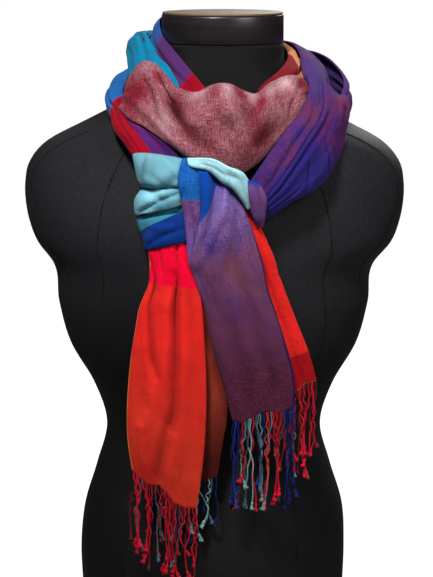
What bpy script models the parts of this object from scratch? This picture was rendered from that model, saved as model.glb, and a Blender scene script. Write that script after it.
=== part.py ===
"""A fringed shawl, folded lengthwise, looped round the neck of a limbless dress form and knotted in front.

Each stretch of the shawl that shows is a wall of cloth of its own. A stretch is lofted through a short table
of sections: a row gives the places of its two edges and how far the cloth between them stands out. The
stretches are made from the inside out, and each one is laid over those already made.

The origin is the middle of the form's base. The front faces -Y. Left and right, in the names, are as someone
who faces the front sees them, so left is at -X.
"""

import math
import random

import bmesh
import bpy
import numpy as np
from mathutils import Vector
from mathutils.bvhtree import BVHTree

# Sizes in metres. The tables of sections are in millimetres, and MM turns them into metres.
MM = 0.001
CLOTH_THICKNESS = 0.0016
CLOTH_ROUGHNESS = 0.8

# The gaps between layers, and the steps by which a layer is moved out until it is clear.
LAYER_GAP = 0.0005
TOUCH_GAP = 0.0003
SEAM_GAP = 0.0006
CLEARING_ROUNDS = 30
CLEARING_STEP = 0.0004
RAY_REACH = 0.25

# The dress form and the hard cap on its neck.
NECK_CENTRE = (0.009, 0.0)
FORM_SIDES = 40
FORM_RING_STEP = 34
CAP_HEIGHT = 0.0294
CAP_EDGE = 0.003
JERSEY_ROUGHNESS = 0.85
CAP_ROUGHNESS = 0.25

# A fold fades in and out over this share of a stretch's length.
FOLD_FADE = 0.12

# The fringe: the strip that carries it and its strands, whose lengths and leans differ a little.
STRIP_HEIGHT = 0.003
STRAND_WIDTH = 0.0026
STRAND_TIP_WIDTH = 0.0018
STRAND_BENDS = 3
STRAND_BEND_POWER = 1.5
LENGTH_CHANGE = 0.10
LEAN_CHANGE = 0.003

# The form: height, middle, half width, depth in front of the middle and depth behind it.
FORM_SECTIONS = (
    (0, -1, 125, 91, 93),
    (10, -1, 128, 93, 96),
    (75, -1, 132.6, 97, 104),
    (114, -1, 133.7, 98, 106),
    (156, 0, 130.2, 94, 100),
    (198, 0, 117.6, 86, 86),
    (240, 0, 107.6, 79, 72),
    (281, 0, 119.9, 80, 70),
    (322, 0, 143.1, 88, 74),
    (363, 0, 154.2, 96, 80),
    (404, 0, 160.1, 102, 84),
    (424, 1, 175.8, 103, 86),
    (444, 1, 183.5, 103, 88),
    (464, 1, 187.2, 101, 89),
    (484, 1, 187.4, 97, 89),
    (504, 1, 182.6, 91, 87),
    (524, 1, 165, 84, 83),
    (544, 2, 127.8, 76, 77),
    (560, 3, 98, 70, 71),
    (575, 5, 79, 64, 65),
    (590, 7, 67, 58, 60),
    (603, 9, 61, 55, 57),
    (620, 9, 59.8, 54, 56),
)

# Each row of a cloth table: one edge (x, y, z), the other edge (x, y, z), and the bulge between them.
WRAP_INNER = (
    (-4, -70, 576, -24, -80, 558, 4),
    (-12, -62, 584, -30, -72, 566, 4),
    (-26, -50, 600, -40, -59, 578, 3),
    (-38, -34, 614, -50, -40, 590, 3),
    (-49, -12, 628, -58, -14, 603, 3),
    (-53, 14, 640, -62, 18, 612, 3),
    (-44, 42, 643, -54, 49, 612, 4),
    (-21, 57, 641, -28, 67, 606, 5),
    (9, 60, 638, 9, 71, 602, 5),
    (40, 57, 631, 49, 68, 597, 5),
    (62, 42, 619, 78, 50, 592, 6),
    (72, 14, 611, 88, 18, 586, 6),
    (72, -16, 603, 88, -20, 579, 6),
    (62, -42, 593, 79, -50, 570, 6),
    (50, -58, 585, 66, -68, 562, 5),
    (42, -66, 578, 56, -76, 556, 4),
)

WRAP_LEFT = (
    (4, 71, 622, 4, 85, 587, 6),
    (-28, 66, 624, -43, 80, 588, 6),
    (-50, 52, 625, -73, 62, 592, 16),
    (-57, 30, 624, -78, 34, 596, 18),
    (-51, 2, 617, -80, 2, 592, 16),
    (-43, -26, 606, -81, -24, 577, 13),
    (-37, -46, 595, -86, -46, 560, 12),
    (-31, -62, 582, -82, -66, 550, 8),
    (-32, -76, 562, -72, -84, 540, 5),
)

UNDER_LAYER_LEFT = (
    (-84, -74, 560, -58, -88, 556, 2),
    (-78, -86, 543, -39, -104, 537, 2),
    (-71, -96, 529, -24, -110, 525, 2),
    (-65, -102, 514, -18, -112, 512, 2),
)

TAIL_LEFT_BACK = (
    (-33, -120, 432, -8, -120, 432, 4),
    (-43, -118, 384, -8, -118, 384, 5),
    (-53, -113, 345, -2, -113, 347, 5),
    (-59, -108, 300, 11, -110, 301, 4),
    (-61, -107, 261, 12, -108, 264, 4),
    (-59, -106, 231, 7, -107, 236, 3),
    (-55, -105, 196, 3, -106, 211, 3),
)

TAIL_LEFT_FRONT = (
    (-61, -122, 452, -26, -123, 456, 4),
    (-60, -123, 432, -25, -124, 439, 6),
    (-59, -124, 417, -21, -125, 420, 6),
    (-60, -125, 401, -15, -125, 399, 6),
    (-68, -125, 381, -12, -125, 381, 6),
    (-73, -125, 356, -10, -125, 353, 6),
    (-78, -124, 323, -8, -124, 314, 6),
    (-81, -122, 287, -8, -123, 275, 5),
    (-81, -120, 250, -11, -122, 228, 5),
    (-77, -120, 220, -17, -122, 183, 2),
)

TAIL_RIGHT_EDGE = (
    (8, -114, 492, 23, -114, 492, 2),
    (18, -114, 458, 41, -112, 458, 3),
    (25, -113, 431, 54, -110, 431, 3),
    (33, -110, 402, 64, -107, 400, 3),
    (43, -106, 362, 79, -103, 360, 3),
    (52, -104, 329, 91, -101, 329, 3),
    (64, -103, 290, 98, -98, 303, 2),
)

TAIL_RIGHT_FRONT = (
    (-12, -114, 508, 18, -116, 504, 4),
    (-10, -119, 481, 26, -118, 478, 7),
    (-15, -123, 448, 37, -119, 448, 8),
    (-21, -124, 421, 46, -119, 418, 8),
    (-15, -122, 402, 50, -117, 397, 8),
    (-7, -121, 376, 58, -116, 373, 8),
    (0, -120, 339, 68, -115, 341, 7),
    (9, -118, 307, 75, -113, 314, 6),
    (19, -116, 268, 77, -112, 282, 4),
)

KNOT_STRAND = (
    (-28, -118, 520, -14, -120, 516, 3),
    (-32, -124, 502, -6, -124, 502, 7),
    (-29, -126, 481, -6, -124, 481, 8),
    (-26, -127, 462, -9, -124, 462, 7),
    (-24, -127, 440, -13, -124, 440, 5),
    (-22, -126, 420, -17, -124, 420, 2),
)

KNOT_BRIDGE = (
    (-24, -122, 520, -22, -122, 514, 1),
    (1, -128, 519, -2, -128, 508, 3),
    (13, -128, 513, 8, -128, 499, 4),
    (27, -127, 507, 18, -128, 493, 5),
    (34, -125, 493, 26, -126, 483, 4),
    (35, -122, 474, 32, -122, 473, 1),
)

COWL_FRONT = (
    (-80, -50, 590, -86, -66, 562, 3),
    (-69, -50, 603, -76, -80, 554, 6),
    (-57, -58, 603, -63, -92, 547, 9),
    (-46, -70, 594, -50, -101, 539, 10),
    (-34, -83, 582, -36, -112, 529, 10),
    (-15, -90, 578, -20, -122, 520, 10),
    (0, -92, 585, -4, -126, 519, 11),
    (14, -92, 586, 12, -128, 513, 12),
    (27, -91, 580, 26, -128, 508, 12),
    (38, -89, 576, 38, -124, 514, 12),
    (52, -82, 585, 54, -113, 529, 11),
    (68, -66, 591, 69, -99, 544, 10),
    (80, -52, 590, 82, -82, 556, 8),
    (87, -42, 584, 90, -62, 566, 5),
)

WRAP_RIGHT_INNER = (
    (-20, 73, 619, -24, 87, 588, 6),
    (14, 75, 620, 14, 90, 588, 6),
    (50, 68, 618, 60, 82, 590, 5),
    (75, 54, 616, 89, 61, 590, 6),
    (83, 30, 611, 104, 32, 592, 6),
    (86, 2, 605, 110, 2, 588, 6),
    (86, -22, 597, 112, -22, 578, 7),
    (87, -46, 586, 108, -48, 566, 8),
    (86, -68, 574, 103, -68, 553, 9),
    (80, -90, 558, 97, -88, 540, 9),
    (68, -104, 544, 86, -104, 526, 9),
    (54, -116, 525, 74, -114, 508, 8),
    (42, -122, 508, 64, -118, 492, 7),
    (34, -122, 496, 52, -118, 478, 5),
)

WRAP_OUTER = (
    (110, -46, 550, 115, -54, 530, 4),
    (119, -26, 562, 121, -30, 541, 4),
    (127, -4, 573, 129, -6, 549, 4),
    (128, 20, 584, 133, 20, 549, 5),
    (119, 42, 596, 130, 46, 550, 6),
    (103, 66, 605, 115, 74, 551, 8),
    (80, 80, 608, 92, 92, 552, 9),
    (50, 87, 610, 56, 104, 550, 9),
    (14, 90, 611, 14, 108, 550, 9),
    (-20, 86, 610, -24, 104, 552, 9),
    (-50, 75, 605, -60, 90, 556, 10),
    (-70, 62, 594, -86, 70, 558, 12),
    (-84, 34, 585, -98, 36, 558, 12),
    (-87, 4, 579, -99, 2, 556, 12),
    (-88, -18, 576, -98, -22, 555, 11),
    (-87, -40, 572, -97, -44, 551, 10),
    (-84, -60, 561, -97, -58, 551, 7),
    (-78, -80, 549, -93, -76, 541, 6),
    (-68, -96, 536, -83, -92, 530, 6),
    (-59, -107, 522, -73, -104, 517, 4),
    (-52, -110, 508, -64, -108, 504, 2),
)

STRAND_RIGHT_OUTER = (
    (106, -46, 584, 134, -8, 570, 3),
    (104, -60, 574, 130, -24, 551, 8),
    (99, -77, 560, 121, -48, 531, 11),
    (90, -92, 546, 114, -66, 512, 12),
    (80, -104, 531, 109, -80, 500, 12),
    (70, -112, 515, 100, -93, 491, 11),
    (61, -117, 502, 88, -103, 484, 10),
    (52, -119, 489, 73, -110, 478, 8),
    (42, -121, 478, 58, -114, 468, 6),
    (34, -121, 470, 45, -116, 462, 4),
)

KNOT_WRAP_UPPER = (
    (-75, -100, 521, -22, -112, 515, 12),
    (-73, -104, 511, -21, -115, 507, 22),
    (-70, -106, 499, -21, -116, 499, 25),
    (-67, -106, 490, -21, -116, 493, 19),
    (-73, -106, 479, -20, -116, 486, 22),
    (-73, -106, 465, -20, -116, 479, 19),
)

KNOT_WRAP_LOWER = (
    (-72, -106, 462, -19, -115, 477, 15),
    (-69, -108, 452, -19, -116, 466, 19),
    (-66, -110, 442, -18, -118, 453, 19),
    (-64, -112, 432, -18, -120, 442, 12),
)

KNOT_END = (
    (33, -122, 500, 43, -120, 496, 2),
    (34, -122, 485, 49, -118, 482, 4),
    (36, -120, 473, 48, -116, 469, 4),
    (41, -116, 456, 46, -115, 455, 1),
)

# Folds that run along a stretch: where across its width they start and end (0 to 1), how deep they are in mm
# (a ridge is negative), how wide they are as a share of the width, and the share of the length they cover.
FOLDS = {
    "tail_left_front": (
        (0.66, 0.42, 7, 0.10, 0.05, 1.0),
        (0.16, 0.34, 5, 0.08, 0.25, 0.75),
    ),
    "tail_left_back": ((0.70, 0.60, 5, 0.12, 0.1, 1.0),),
    "tail_right_front": (
        (0.72, 0.30, -5, 0.12, 0.0, 0.55),
        (0.40, 0.72, 5, 0.10, 0.25, 1.0),
    ),
    "tail_right_edge": ((0.6, 0.6, 3, 0.14, 0.2, 1.0),),
    "cowl_front": (
        (0.22, 0.30, 5, 0.08, 0.15, 0.62),
        (0.62, 0.52, 4, 0.09, 0.30, 0.95),
    ),
    "wrap_left": ((0.35, 0.55, 6, 0.10, 0.3, 1.0),),
    "wrap_right_inner": ((0.55, 0.45, 4, 0.10, 0.3, 1.0),),
    "strand_right_outer": ((0.55, 0.40, 4, 0.10, 0.25, 1.0),),
    "wrap_outer": (
        (0.30, 0.40, 5, 0.08, 0.05, 0.62),
        (0.68, 0.58, 5, 0.08, 0.15, 0.70),
        (0.45, 0.50, 4, 0.12, 0.60, 0.97),
    ),
    "wrap_inner": ((0.5, 0.5, 4, 0.12, 0.0, 1.0),),
}

# Colours as the shawl's blocks show them, linear.
CYAN = (0.0, 0.30, 0.58)
PALE_TEAL = (0.19, 0.51, 0.54)
ROYAL_BLUE = (0.008, 0.07, 0.40)
CRIMSON = (0.74, 0.0, 0.022)
ORANGE_RED = (0.78, 0.04, 0.025)
RUST = (0.10, 0.017, 0.008)
VIOLET = (0.09, 0.045, 0.30)
PLUM = (0.10, 0.025, 0.09)
MAROON = (0.30, 0.06, 0.08)
JERSEY_BLACK = (0.012, 0.012, 0.014)
CAP_BLACK = (0.006, 0.006, 0.007)


def clear_scene():
    for obj in list(bpy.data.objects):
        bpy.data.objects.remove(obj, do_unlink=True)


def new_material(name, colour, roughness):
    material = bpy.data.materials.new(name)
    material.use_nodes = True
    shader = material.node_tree.nodes["Principled BSDF"]
    shader.inputs["Base Color"].default_value = (*colour, 1.0)
    shader.inputs["Roughness"].default_value = roughness
    shader.inputs["Metallic"].default_value = 0.0
    return material


def new_object(name, mesh, collection, colour, roughness):
    obj = bpy.data.objects.new(name, mesh)
    mesh.materials.append(new_material(name + "_finish", colour, roughness))
    mesh.shade_smooth()
    collection.objects.link(obj)
    return obj


def rows_at(table, places, wanted):
    """Rows read from a smooth curve through a table's rows, which lie at the given places."""
    slopes = np.gradient(table, places, axis=0)
    found = []
    for place in wanted:
        i = min(int(np.searchsorted(places, place, side="right")) - 1, len(places) - 2)
        span = places[i + 1] - places[i]
        t = (place - places[i]) / span
        start = (2 * t**3 - 3 * t**2 + 1) * table[i] + (t**3 - 2 * t**2 + t) * span * slopes[i]
        end = (3 * t**2 - 2 * t**3) * table[i + 1] + (t**3 - t**2) * span * slopes[i + 1]
        found.append(start + end)
    return np.array(found)


def even_sections(rows, count):
    """Sections at even distances along a stretch of cloth."""
    table = np.array(rows, float)
    middles = (table[:, 0:3] + table[:, 3:6]) / 2
    steps = np.linalg.norm(np.diff(middles, axis=0), axis=1)
    places = np.concatenate([[0.0], np.cumsum(steps)])
    return rows_at(table, places, np.linspace(0.0, places[-1], count))


def fold_depth(folds, across, along):
    """How far the folds of a stretch sink its surface at one place, in metres."""
    depth = 0.0
    for start, end, deep, wide, first, last in folds:
        middle = start + (end - start) * along
        fade_in = min(1.0, max(0.0, (along - first) / FOLD_FADE + 0.5))
        fade_out = min(1.0, max(0.0, (last - along) / FOLD_FADE + 0.5))
        depth += deep * MM * math.exp(-(((across - middle) / wide) ** 2)) * fade_in * fade_out
    return depth


def outward_from_neck(point):
    away = Vector((point.x - NECK_CENTRE[0], point.y - NECK_CENTRE[1], 0.0))
    return away.normalized()


def outward_to_front(point):
    return Vector((0.0, -1.0, 0.0))


def lofted_points(rows, folds, along, across, outward):
    """A grid of points: the sections' edges, with the cloth between them standing out in an arch."""
    sections = even_sections(rows, along)
    middles = [Vector((row[0:3] + row[3:6]) / 2) for row in sections]
    grid = []
    for i, row in enumerate(sections):
        one_edge = Vector(row[0:3]) * MM
        other_edge = Vector(row[3:6]) * MM
        forward = middles[min(i + 1, along - 1)] - middles[max(i - 1, 0)]
        normal = forward.cross(other_edge - one_edge).normalized()
        if normal.dot(outward((one_edge + other_edge) / 2)) < 0:
            normal = -normal
        line = []
        for j in range(across):
            angle = math.pi * j / (across - 1)
            share = (1 - math.cos(angle)) / 2
            arch = abs(math.sin(angle))
            sunk = fold_depth(folds, share, i / (along - 1)) * math.sqrt(arch)
            line.append(one_edge.lerp(other_edge, share) + normal * (row[6] * MM * arch - sunk))
        grid.append(line)
    return grid


def spread(values):
    """Each value raised to the largest of its neighbours, then softened."""
    along, across = values.shape
    near = [(a, b) for a in range(3) for b in range(3)]
    padded = np.pad(values, 1, mode="edge")
    widest = np.max([padded[a : a + along, b : b + across] for a, b in near], axis=0)
    padded = np.pad(widest, 1, mode="edge")
    softened = np.mean([padded[a : a + along, b : b + across] for a, b in near], axis=0)
    return np.maximum(softened, values)


def moved_out(grid, lift, outward):
    return [
        [point + outward(point) * lift[i, j] for j, point in enumerate(line)]
        for i, line in enumerate(grid)
    ]


def laid_over(grid, tree, outward):
    """The grid moved out, smoothly, as far as it must to lie clear of everything made before it."""
    along, across = len(grid), len(grid[0])

    def needed(point):
        away = outward(point)
        hit = tree.ray_cast(point + away * RAY_REACH, -away, 2 * RAY_REACH)
        if hit[0] is None:
            return 0.0
        return max(0.0, RAY_REACH - hit[3] + LAYER_GAP)

    lift = np.array([[needed(point) for point in line] for line in grid])
    for i in range(along - 1):
        for j in range(across - 1):
            middle = (grid[i][j] + grid[i + 1][j] + grid[i][j + 1] + grid[i + 1][j + 1]) / 4
            lift[i : i + 2, j : j + 2] = np.maximum(lift[i : i + 2, j : j + 2], needed(middle))
    lift = spread(lift)
    for _ in range(CLEARING_ROUNDS):
        touching = touching_points(moved_out(grid, lift, outward), tree, outward)
        if not touching.any():
            break
        lift += spread(np.where(touching, CLEARING_STEP, 0.0))
    return moved_out(grid, lift, outward)


def way_out(grid, outward):
    """The surface's own direction at each point of a grid, turned outwards."""
    places = np.array([[tuple(point) for point in line] for line in grid])
    normals = np.cross(np.gradient(places, axis=0), np.gradient(places, axis=1))
    normals /= np.linalg.norm(normals, axis=2, keepdims=True)
    middle = len(grid) // 2, len(grid[0]) // 2
    if Vector(normals[middle]).dot(outward(grid[middle[0]][middle[1]])) < 0:
        normals = -normals
    return places, normals


def touching_points(grid, tree, outward):
    """Which points of a grid belong to a wall that meets what was made before, with a gap to spare."""
    across = len(grid[0])
    places, normals = way_out(grid, outward)
    inner = places - normals * TOUCH_GAP
    outer = places + normals * (CLOTH_THICKNESS + TOUCH_GAP)
    count = len(grid) * across
    points = np.concatenate([inner.reshape(-1, 3), outer.reshape(-1, 3)]).tolist()
    faces = []
    for i in range(len(grid) - 1):
        for j in range(across - 1):
            low = i * across + j
            square = (low, low + across, low + across + 1, low + 1)
            faces.append(square)
            faces.append(tuple(count + k for k in square))
    rim = [j for j in range(across)] + [i * across + across - 1 for i in range(1, len(grid))]
    rim += [count - 1 - j for j in range(1, across)] + [i * across for i in range(len(grid) - 2, 0, -1)]
    for one, two in zip(rim, rim[1:] + rim[:1]):
        faces.append((one, two, two + count, one + count))
    touching = np.zeros(count, bool)
    for face, _ in BVHTree.FromPolygons(points, faces).overlap(tree):
        for k in faces[face]:
            touching[k % count] = True
    return touching.reshape(len(grid), across)


def sheet_mesh(name, grid, outward):
    """An open surface through the grid, with its faces turned outwards."""
    across = len(grid[0])
    shape = bmesh.new()
    points = [[shape.verts.new(point) for point in line] for line in grid]
    for i in range(len(grid) - 1):
        for j in range(across - 1):
            shape.faces.new((points[i][j], points[i + 1][j], points[i + 1][j + 1], points[i][j + 1]))
    shape.normal_update()
    facing = sum(
        face.normal.dot(outward(face.calc_center_median())) * face.calc_area() for face in shape.faces
    )
    if facing < 0:
        bmesh.ops.reverse_faces(shape, faces=shape.faces)
    mesh = bpy.data.meshes.new(name)
    shape.to_mesh(mesh)
    shape.free()
    return mesh


def made_so_far(objects):
    """A search tree over the finished surfaces of every object made so far."""
    bpy.context.view_layer.update()
    graph = bpy.context.evaluated_depsgraph_get()
    points = []
    faces = []
    for obj in objects:
        finished = obj.evaluated_get(graph)
        mesh = finished.to_mesh()
        start = len(points)
        points.extend(vertex.co.copy() for vertex in mesh.vertices)
        faces.extend(tuple(start + i for i in face.vertices) for face in mesh.polygons)
        finished.to_mesh_clear()
    return BVHTree.FromPolygons(points, faces)


def cloth_stretch(name, rows, along, across, outward, colour, collection):
    """One stretch of the shawl, as a wall of cloth laid over all that was made before it."""
    grid = lofted_points(rows, FOLDS.get(name, ()), along, across, outward)
    grid = laid_over(grid, made_so_far(collection.objects), outward)
    obj = new_object(name, sheet_mesh(name, grid, outward), collection, colour, CLOTH_ROUGHNESS)
    wall = obj.modifiers.new("wall", "SOLIDIFY")
    wall.thickness = CLOTH_THICKNESS
    wall.offset = 1.0
    return grid


def closed_rings(name, rings, collection, colour, roughness):
    """A closed body through level rings of points, capped flat at both ends."""
    shape = bmesh.new()
    loops = [[shape.verts.new(point) for point in ring] for ring in rings]
    sides = len(rings[0])
    for low, high in zip(loops, loops[1:]):
        for k in range(sides):
            after = (k + 1) % sides
            shape.faces.new((low[k], low[after], high[after], high[k]))
    shape.faces.new(list(reversed(loops[0])))
    shape.faces.new(loops[-1])
    mesh = bpy.data.meshes.new(name)
    shape.to_mesh(mesh)
    shape.free()
    return new_object(name, mesh, collection, colour, roughness)


def form_ring(height, middle, half, front, back, shrink=0.0):
    """A level ring of the form, an oval whose front and back halves have their own depths."""
    ring = []
    for k in range(FORM_SIDES):
        angle = 2 * math.pi * k / FORM_SIDES
        depth = front if math.sin(angle) < 0 else back
        x = middle * MM + (half * MM - shrink) * math.cos(angle)
        y = (depth * MM - shrink) * math.sin(angle)
        ring.append(Vector((x, y, height)))
    return ring


def form_torso(collection):
    sections = np.array(FORM_SECTIONS, float)
    heights = []
    for low, high in zip(sections[:-1, 0], sections[1:, 0]):
        steps = math.ceil((high - low) / FORM_RING_STEP)
        heights.extend(np.linspace(low, high, steps, endpoint=False))
    heights.append(sections[-1, 0])
    rings = [form_ring(row[0] * MM, *row[1:]) for row in rows_at(sections, sections[:, 0], heights)]
    return closed_rings("form_torso", rings, collection, JERSEY_BLACK, JERSEY_ROUGHNESS)


def neck_cap(collection):
    base = FORM_SECTIONS[-1][0] * MM + SEAM_GAP
    top = base + CAP_HEIGHT
    levels = [(base, 0.0)]
    for angle in (0.0, 30.0, 60.0, 90.0):
        turn = math.radians(angle)
        levels.append((top - CAP_EDGE * (1 - math.sin(turn)), CAP_EDGE * (1 - math.cos(turn))))
    rings = [form_ring(height, *FORM_SECTIONS[-1][1:], shrink) for height, shrink in levels]
    return closed_rings("neck_cap", rings, collection, CAP_BLACK, CAP_ROUGHNESS)


def hem_place(hem, share):
    """The point a share of the way along a hem."""
    steps = [0.0]
    for before, after in zip(hem, hem[1:]):
        steps.append(steps[-1] + (after - before).length)
    wanted = share * steps[-1]
    for i in range(len(hem) - 1):
        if wanted <= steps[i + 1]:
            return hem[i].lerp(hem[i + 1], (wanted - steps[i]) / (steps[i + 1] - steps[i]))
    return hem[-1].copy()


def fringe(name, hem, strands, length, spread_out, seed, colour, collection):
    """Strands that hang from a narrow strip just under a hem, as one body.

    The strands fan out by spread_out between the first and the last of them.
    """
    chance = random.Random(seed)
    out = Vector((0.0, -CLOTH_THICKNESS / 2, 0.0))
    drop = Vector((0.0, 0.0, SEAM_GAP))
    depth = Vector((0.0, STRAND_WIDTH / 2, 0.0))
    width = sum((after - before).length for before, after in zip(hem, hem[1:]))
    half = STRAND_WIDTH / 2 / width
    shape = bmesh.new()

    def corners(share):
        top = hem_place(hem, share) + out - drop
        low = top - Vector((0.0, 0.0, STRIP_HEIGHT))
        return [shape.verts.new(point) for point in (top - depth, top + depth, low + depth, low - depth)]

    edges = []
    for i in range(strands):
        middle = half + (1 - 2 * half) * i / (strands - 1)
        edges.append(corners(middle - half))
        edges.append(corners(middle + half))
    shape.faces.new(edges[0])
    shape.faces.new(list(reversed(edges[-1])))
    for i, (one, two) in enumerate(zip(edges, edges[1:])):
        for a, b in ((0, 1), (1, 2), (3, 0)):
            shape.faces.new((one[a], two[a], two[b], one[b]))
        if i % 2 == 1:
            shape.faces.new((one[2], two[2], two[3], one[3]))
            continue
        loop = [one[2], one[3], two[3], two[2]]
        root = sum((vertex.co for vertex in loop), Vector()) / 4
        reach = length * (1 + LENGTH_CHANGE * (chance.random() - 0.5))
        sway = spread_out * (i / 2 / (strands - 1) - 0.5) + LEAN_CHANGE * (chance.random() - 0.5)
        for bend in range(1, STRAND_BENDS + 1):
            share = bend / STRAND_BENDS
            size = (STRAND_WIDTH + (STRAND_TIP_WIDTH - STRAND_WIDTH) * share) / 2
            middle = root + Vector((sway * share**STRAND_BEND_POWER, 0.0, -reach * share))
            offsets = ((-size, size), (-size, -size), (size, -size), (size, size))
            lower = [shape.verts.new(middle + Vector((x, y, 0.0))) for x, y in offsets]
            for a in range(4):
                b = (a + 1) % 4
                shape.faces.new((loop[a], loop[b], lower[b], lower[a]))
            loop = lower
        shape.faces.new(loop)
    bmesh.ops.recalc_face_normals(shape, faces=shape.faces)
    mesh = bpy.data.meshes.new(name)
    shape.to_mesh(mesh)
    shape.free()
    return new_object(name, mesh, collection, colour, CLOTH_ROUGHNESS)


def main():
    clear_scene()
    collection = bpy.data.collections.new("knotted_shawl_on_dress_form")
    bpy.context.scene.collection.children.link(collection)
    form_torso(collection)
    neck_cap(collection)

    # From the inside out. Each row: name, sections, points along, points across, way out, colour.
    stretches = (
        ("wrap_inner", WRAP_INNER, 30, 8, outward_from_neck, VIOLET),
        ("wrap_left", WRAP_LEFT, 20, 9, outward_from_neck, CYAN),
        ("under_layer_left", UNDER_LAYER_LEFT, 7, 6, outward_to_front, PLUM),
        ("tail_left_back", TAIL_LEFT_BACK, 16, 9, outward_to_front, RUST),
        ("tail_left_front", TAIL_LEFT_FRONT, 20, 12, outward_to_front, ORANGE_RED),
        ("tail_right_edge", TAIL_RIGHT_EDGE, 14, 7, outward_to_front, ORANGE_RED),
        ("cowl_front", COWL_FRONT, 26, 11, outward_from_neck, MAROON),
        ("wrap_right_inner", WRAP_RIGHT_INNER, 26, 8, outward_from_neck, VIOLET),
        ("wrap_outer", WRAP_OUTER, 46, 9, outward_from_neck, ROYAL_BLUE),
        ("strand_right_outer", STRAND_RIGHT_OUTER, 16, 9, outward_from_neck, VIOLET),
        ("knot_wrap_upper", KNOT_WRAP_UPPER, 12, 10, outward_to_front, PALE_TEAL),
        ("knot_wrap_lower", KNOT_WRAP_LOWER, 8, 10, outward_to_front, ROYAL_BLUE),
        ("knot_strand", KNOT_STRAND, 10, 7, outward_to_front, ROYAL_BLUE),
        ("tail_right_front", TAIL_RIGHT_FRONT, 18, 11, outward_to_front, PLUM),
        ("knot_bridge", KNOT_BRIDGE, 10, 6, outward_to_front, PALE_TEAL),
        ("knot_end", KNOT_END, 8, 5, outward_to_front, VIOLET),
    )
    hems = {}
    for name, rows, along, across, outward, colour in stretches:
        hems[name] = cloth_stretch(name, rows, along, across, outward, colour, collection)[-1]

    # Each row: name, the stretch whose hem it hangs from, strands, length, spread, seed, colour.
    fringes = (
        ("fringe_left_back", "tail_left_back", 12, 0.058, 0.004, 3, PALE_TEAL),
        ("fringe_left_front", "tail_left_front", 16, 0.072, 0.010, 5, CRIMSON),
        ("fringe_right_edge", "tail_right_edge", 9, 0.080, 0.006, 7, CRIMSON),
        ("fringe_right_front", "tail_right_front", 17, 0.088, 0.012, 9, ROYAL_BLUE),
    )
    for name, stretch, strands, length, spread_out, seed, colour in fringes:
        fringe(name, hems[stretch], strands, length, spread_out, seed, colour, collection)


main()
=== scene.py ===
"""The looks of a fringed, colour-block shawl that is looped and knotted round the neck of a dress form.

The cloth is made a stretch at a time, from the inside out. A stretch is lofted through a short table of
sections, gets the creases listed for it, and is then laid over the form and the stretches made before it. Its
colour blocks follow the weave, because the shawl is woven with stripes of yarn that change along its length.
Geometry Nodes twist the fringe and the threads along the edges, and set the stitches beside the form's seams.

Left and right, in the names, are as someone who faces the front sees them, so left is at -X.
"""

import math
import random
from functools import reduce

import bpy
import numpy as np
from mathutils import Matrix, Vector, noise
from mathutils.bvhtree import BVHTree


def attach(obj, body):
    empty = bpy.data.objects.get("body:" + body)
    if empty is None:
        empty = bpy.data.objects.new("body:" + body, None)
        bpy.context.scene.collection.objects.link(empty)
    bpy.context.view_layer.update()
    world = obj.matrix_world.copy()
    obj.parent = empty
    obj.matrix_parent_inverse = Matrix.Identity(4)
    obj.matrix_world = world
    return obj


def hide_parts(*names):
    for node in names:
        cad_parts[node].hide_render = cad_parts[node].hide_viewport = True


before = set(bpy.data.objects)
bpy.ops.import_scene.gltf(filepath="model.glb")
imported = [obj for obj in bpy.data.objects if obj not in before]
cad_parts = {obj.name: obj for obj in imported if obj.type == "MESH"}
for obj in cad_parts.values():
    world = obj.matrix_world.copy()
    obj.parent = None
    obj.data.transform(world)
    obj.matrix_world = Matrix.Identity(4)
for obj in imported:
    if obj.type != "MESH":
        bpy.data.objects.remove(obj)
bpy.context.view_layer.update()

# Sizes in metres. The tables of sections are in millimetres, and MM turns them into metres.
MM = 0.001

# The camera: the photograph is 433 pixels wide, and one of them is about a millimetre at the form's middle.
PHOTO_WIDTH = 433
FOCAL_PIXELS = 2200
SENSOR_WIDTH = 36.0
CAMERA_DISTANCE = 2.2
CAMERA_RISE = math.radians(10)
CAMERA_TARGET = Vector((0.003, 0.0, 0.375))

# The floor, which is seen as plain white: its glow, half its width, its two greys and its marks a metre.
FLOOR_GLOW = 1.0
FLOOR_HALF = 8.0
FLOOR_COLOURS = ((0.13, 0.13, 0.13), (0.15, 0.15, 0.15))
FLOOR_MARKS = 60.0

# The light: the room's own, where the lamps aim, and each lamp's name, place, size and power.
ROOM_LIGHT = 0.06
LIGHT_AIM = (0.0, -0.05, 0.44)
LIGHTS = (
    ("key", (-0.34, -1.00, 1.74), 0.26, 35),
    ("fill", (1.05, -1.25, 1.25), 0.7, 16),
    ("back", (0.5, 1.6, 1.5), 0.8, 22),
)

# The cloth: its wall, the size of its mesh's squares, and the gaps between layers.
CLOTH_THICKNESS = 0.0012
RIM_ROUNDING = 0.0004
CLOTH_SQUARE = 0.0017
LAYER_GAP = 0.0006
TOUCH_GAP = 0.0002
CLEARING_ROUNDS = 12
CLEARING_STEP = 0.0004
SOFTENING_ROUNDS = 3
RAY_REACH = 0.25
# An arch needs more squares than its chord, and an edge a few more.
ARCH_SQUARES = 1.15
EDGE_SQUARES = 6

# Swells of every cloth: how long they are along and across it in mm, a seed, and how high they are in mm.
SWELLS = ((34, 13, 0, 1.3), (11, 7, 50, 0.45), (26, 4, 90, 0.55))

# A crease: how fast it deepens from its ends, its depth there, and the low ridges beside it.
CREASE_RISE = 5.0
CREASE_END = 0.25
RIDGE_HEIGHT = 0.28
RIDGE_SPREAD = 5.0

# How each millimetre that a fold sinks changes the cloth's look, as painted shade in creases and painted
# sheen
# on ridges: the weft's share, and the tone.
FOLD_SHEEN_AND_SHADE = 0.018
FOLD_PAINTED_SHADE = 0.05
PAINTED_SHADE_LIMITS = (0.35, 1.45)

# Painted light on the jersey: deep black low down and under the cap, where shade is painted, and paler
# between, where a pool of light on the chest is painted: from and to, in metres up.
JERSEY_PAINTED_LIGHT = ((0.27, 0.44), (0.59, 0.51))

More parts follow.
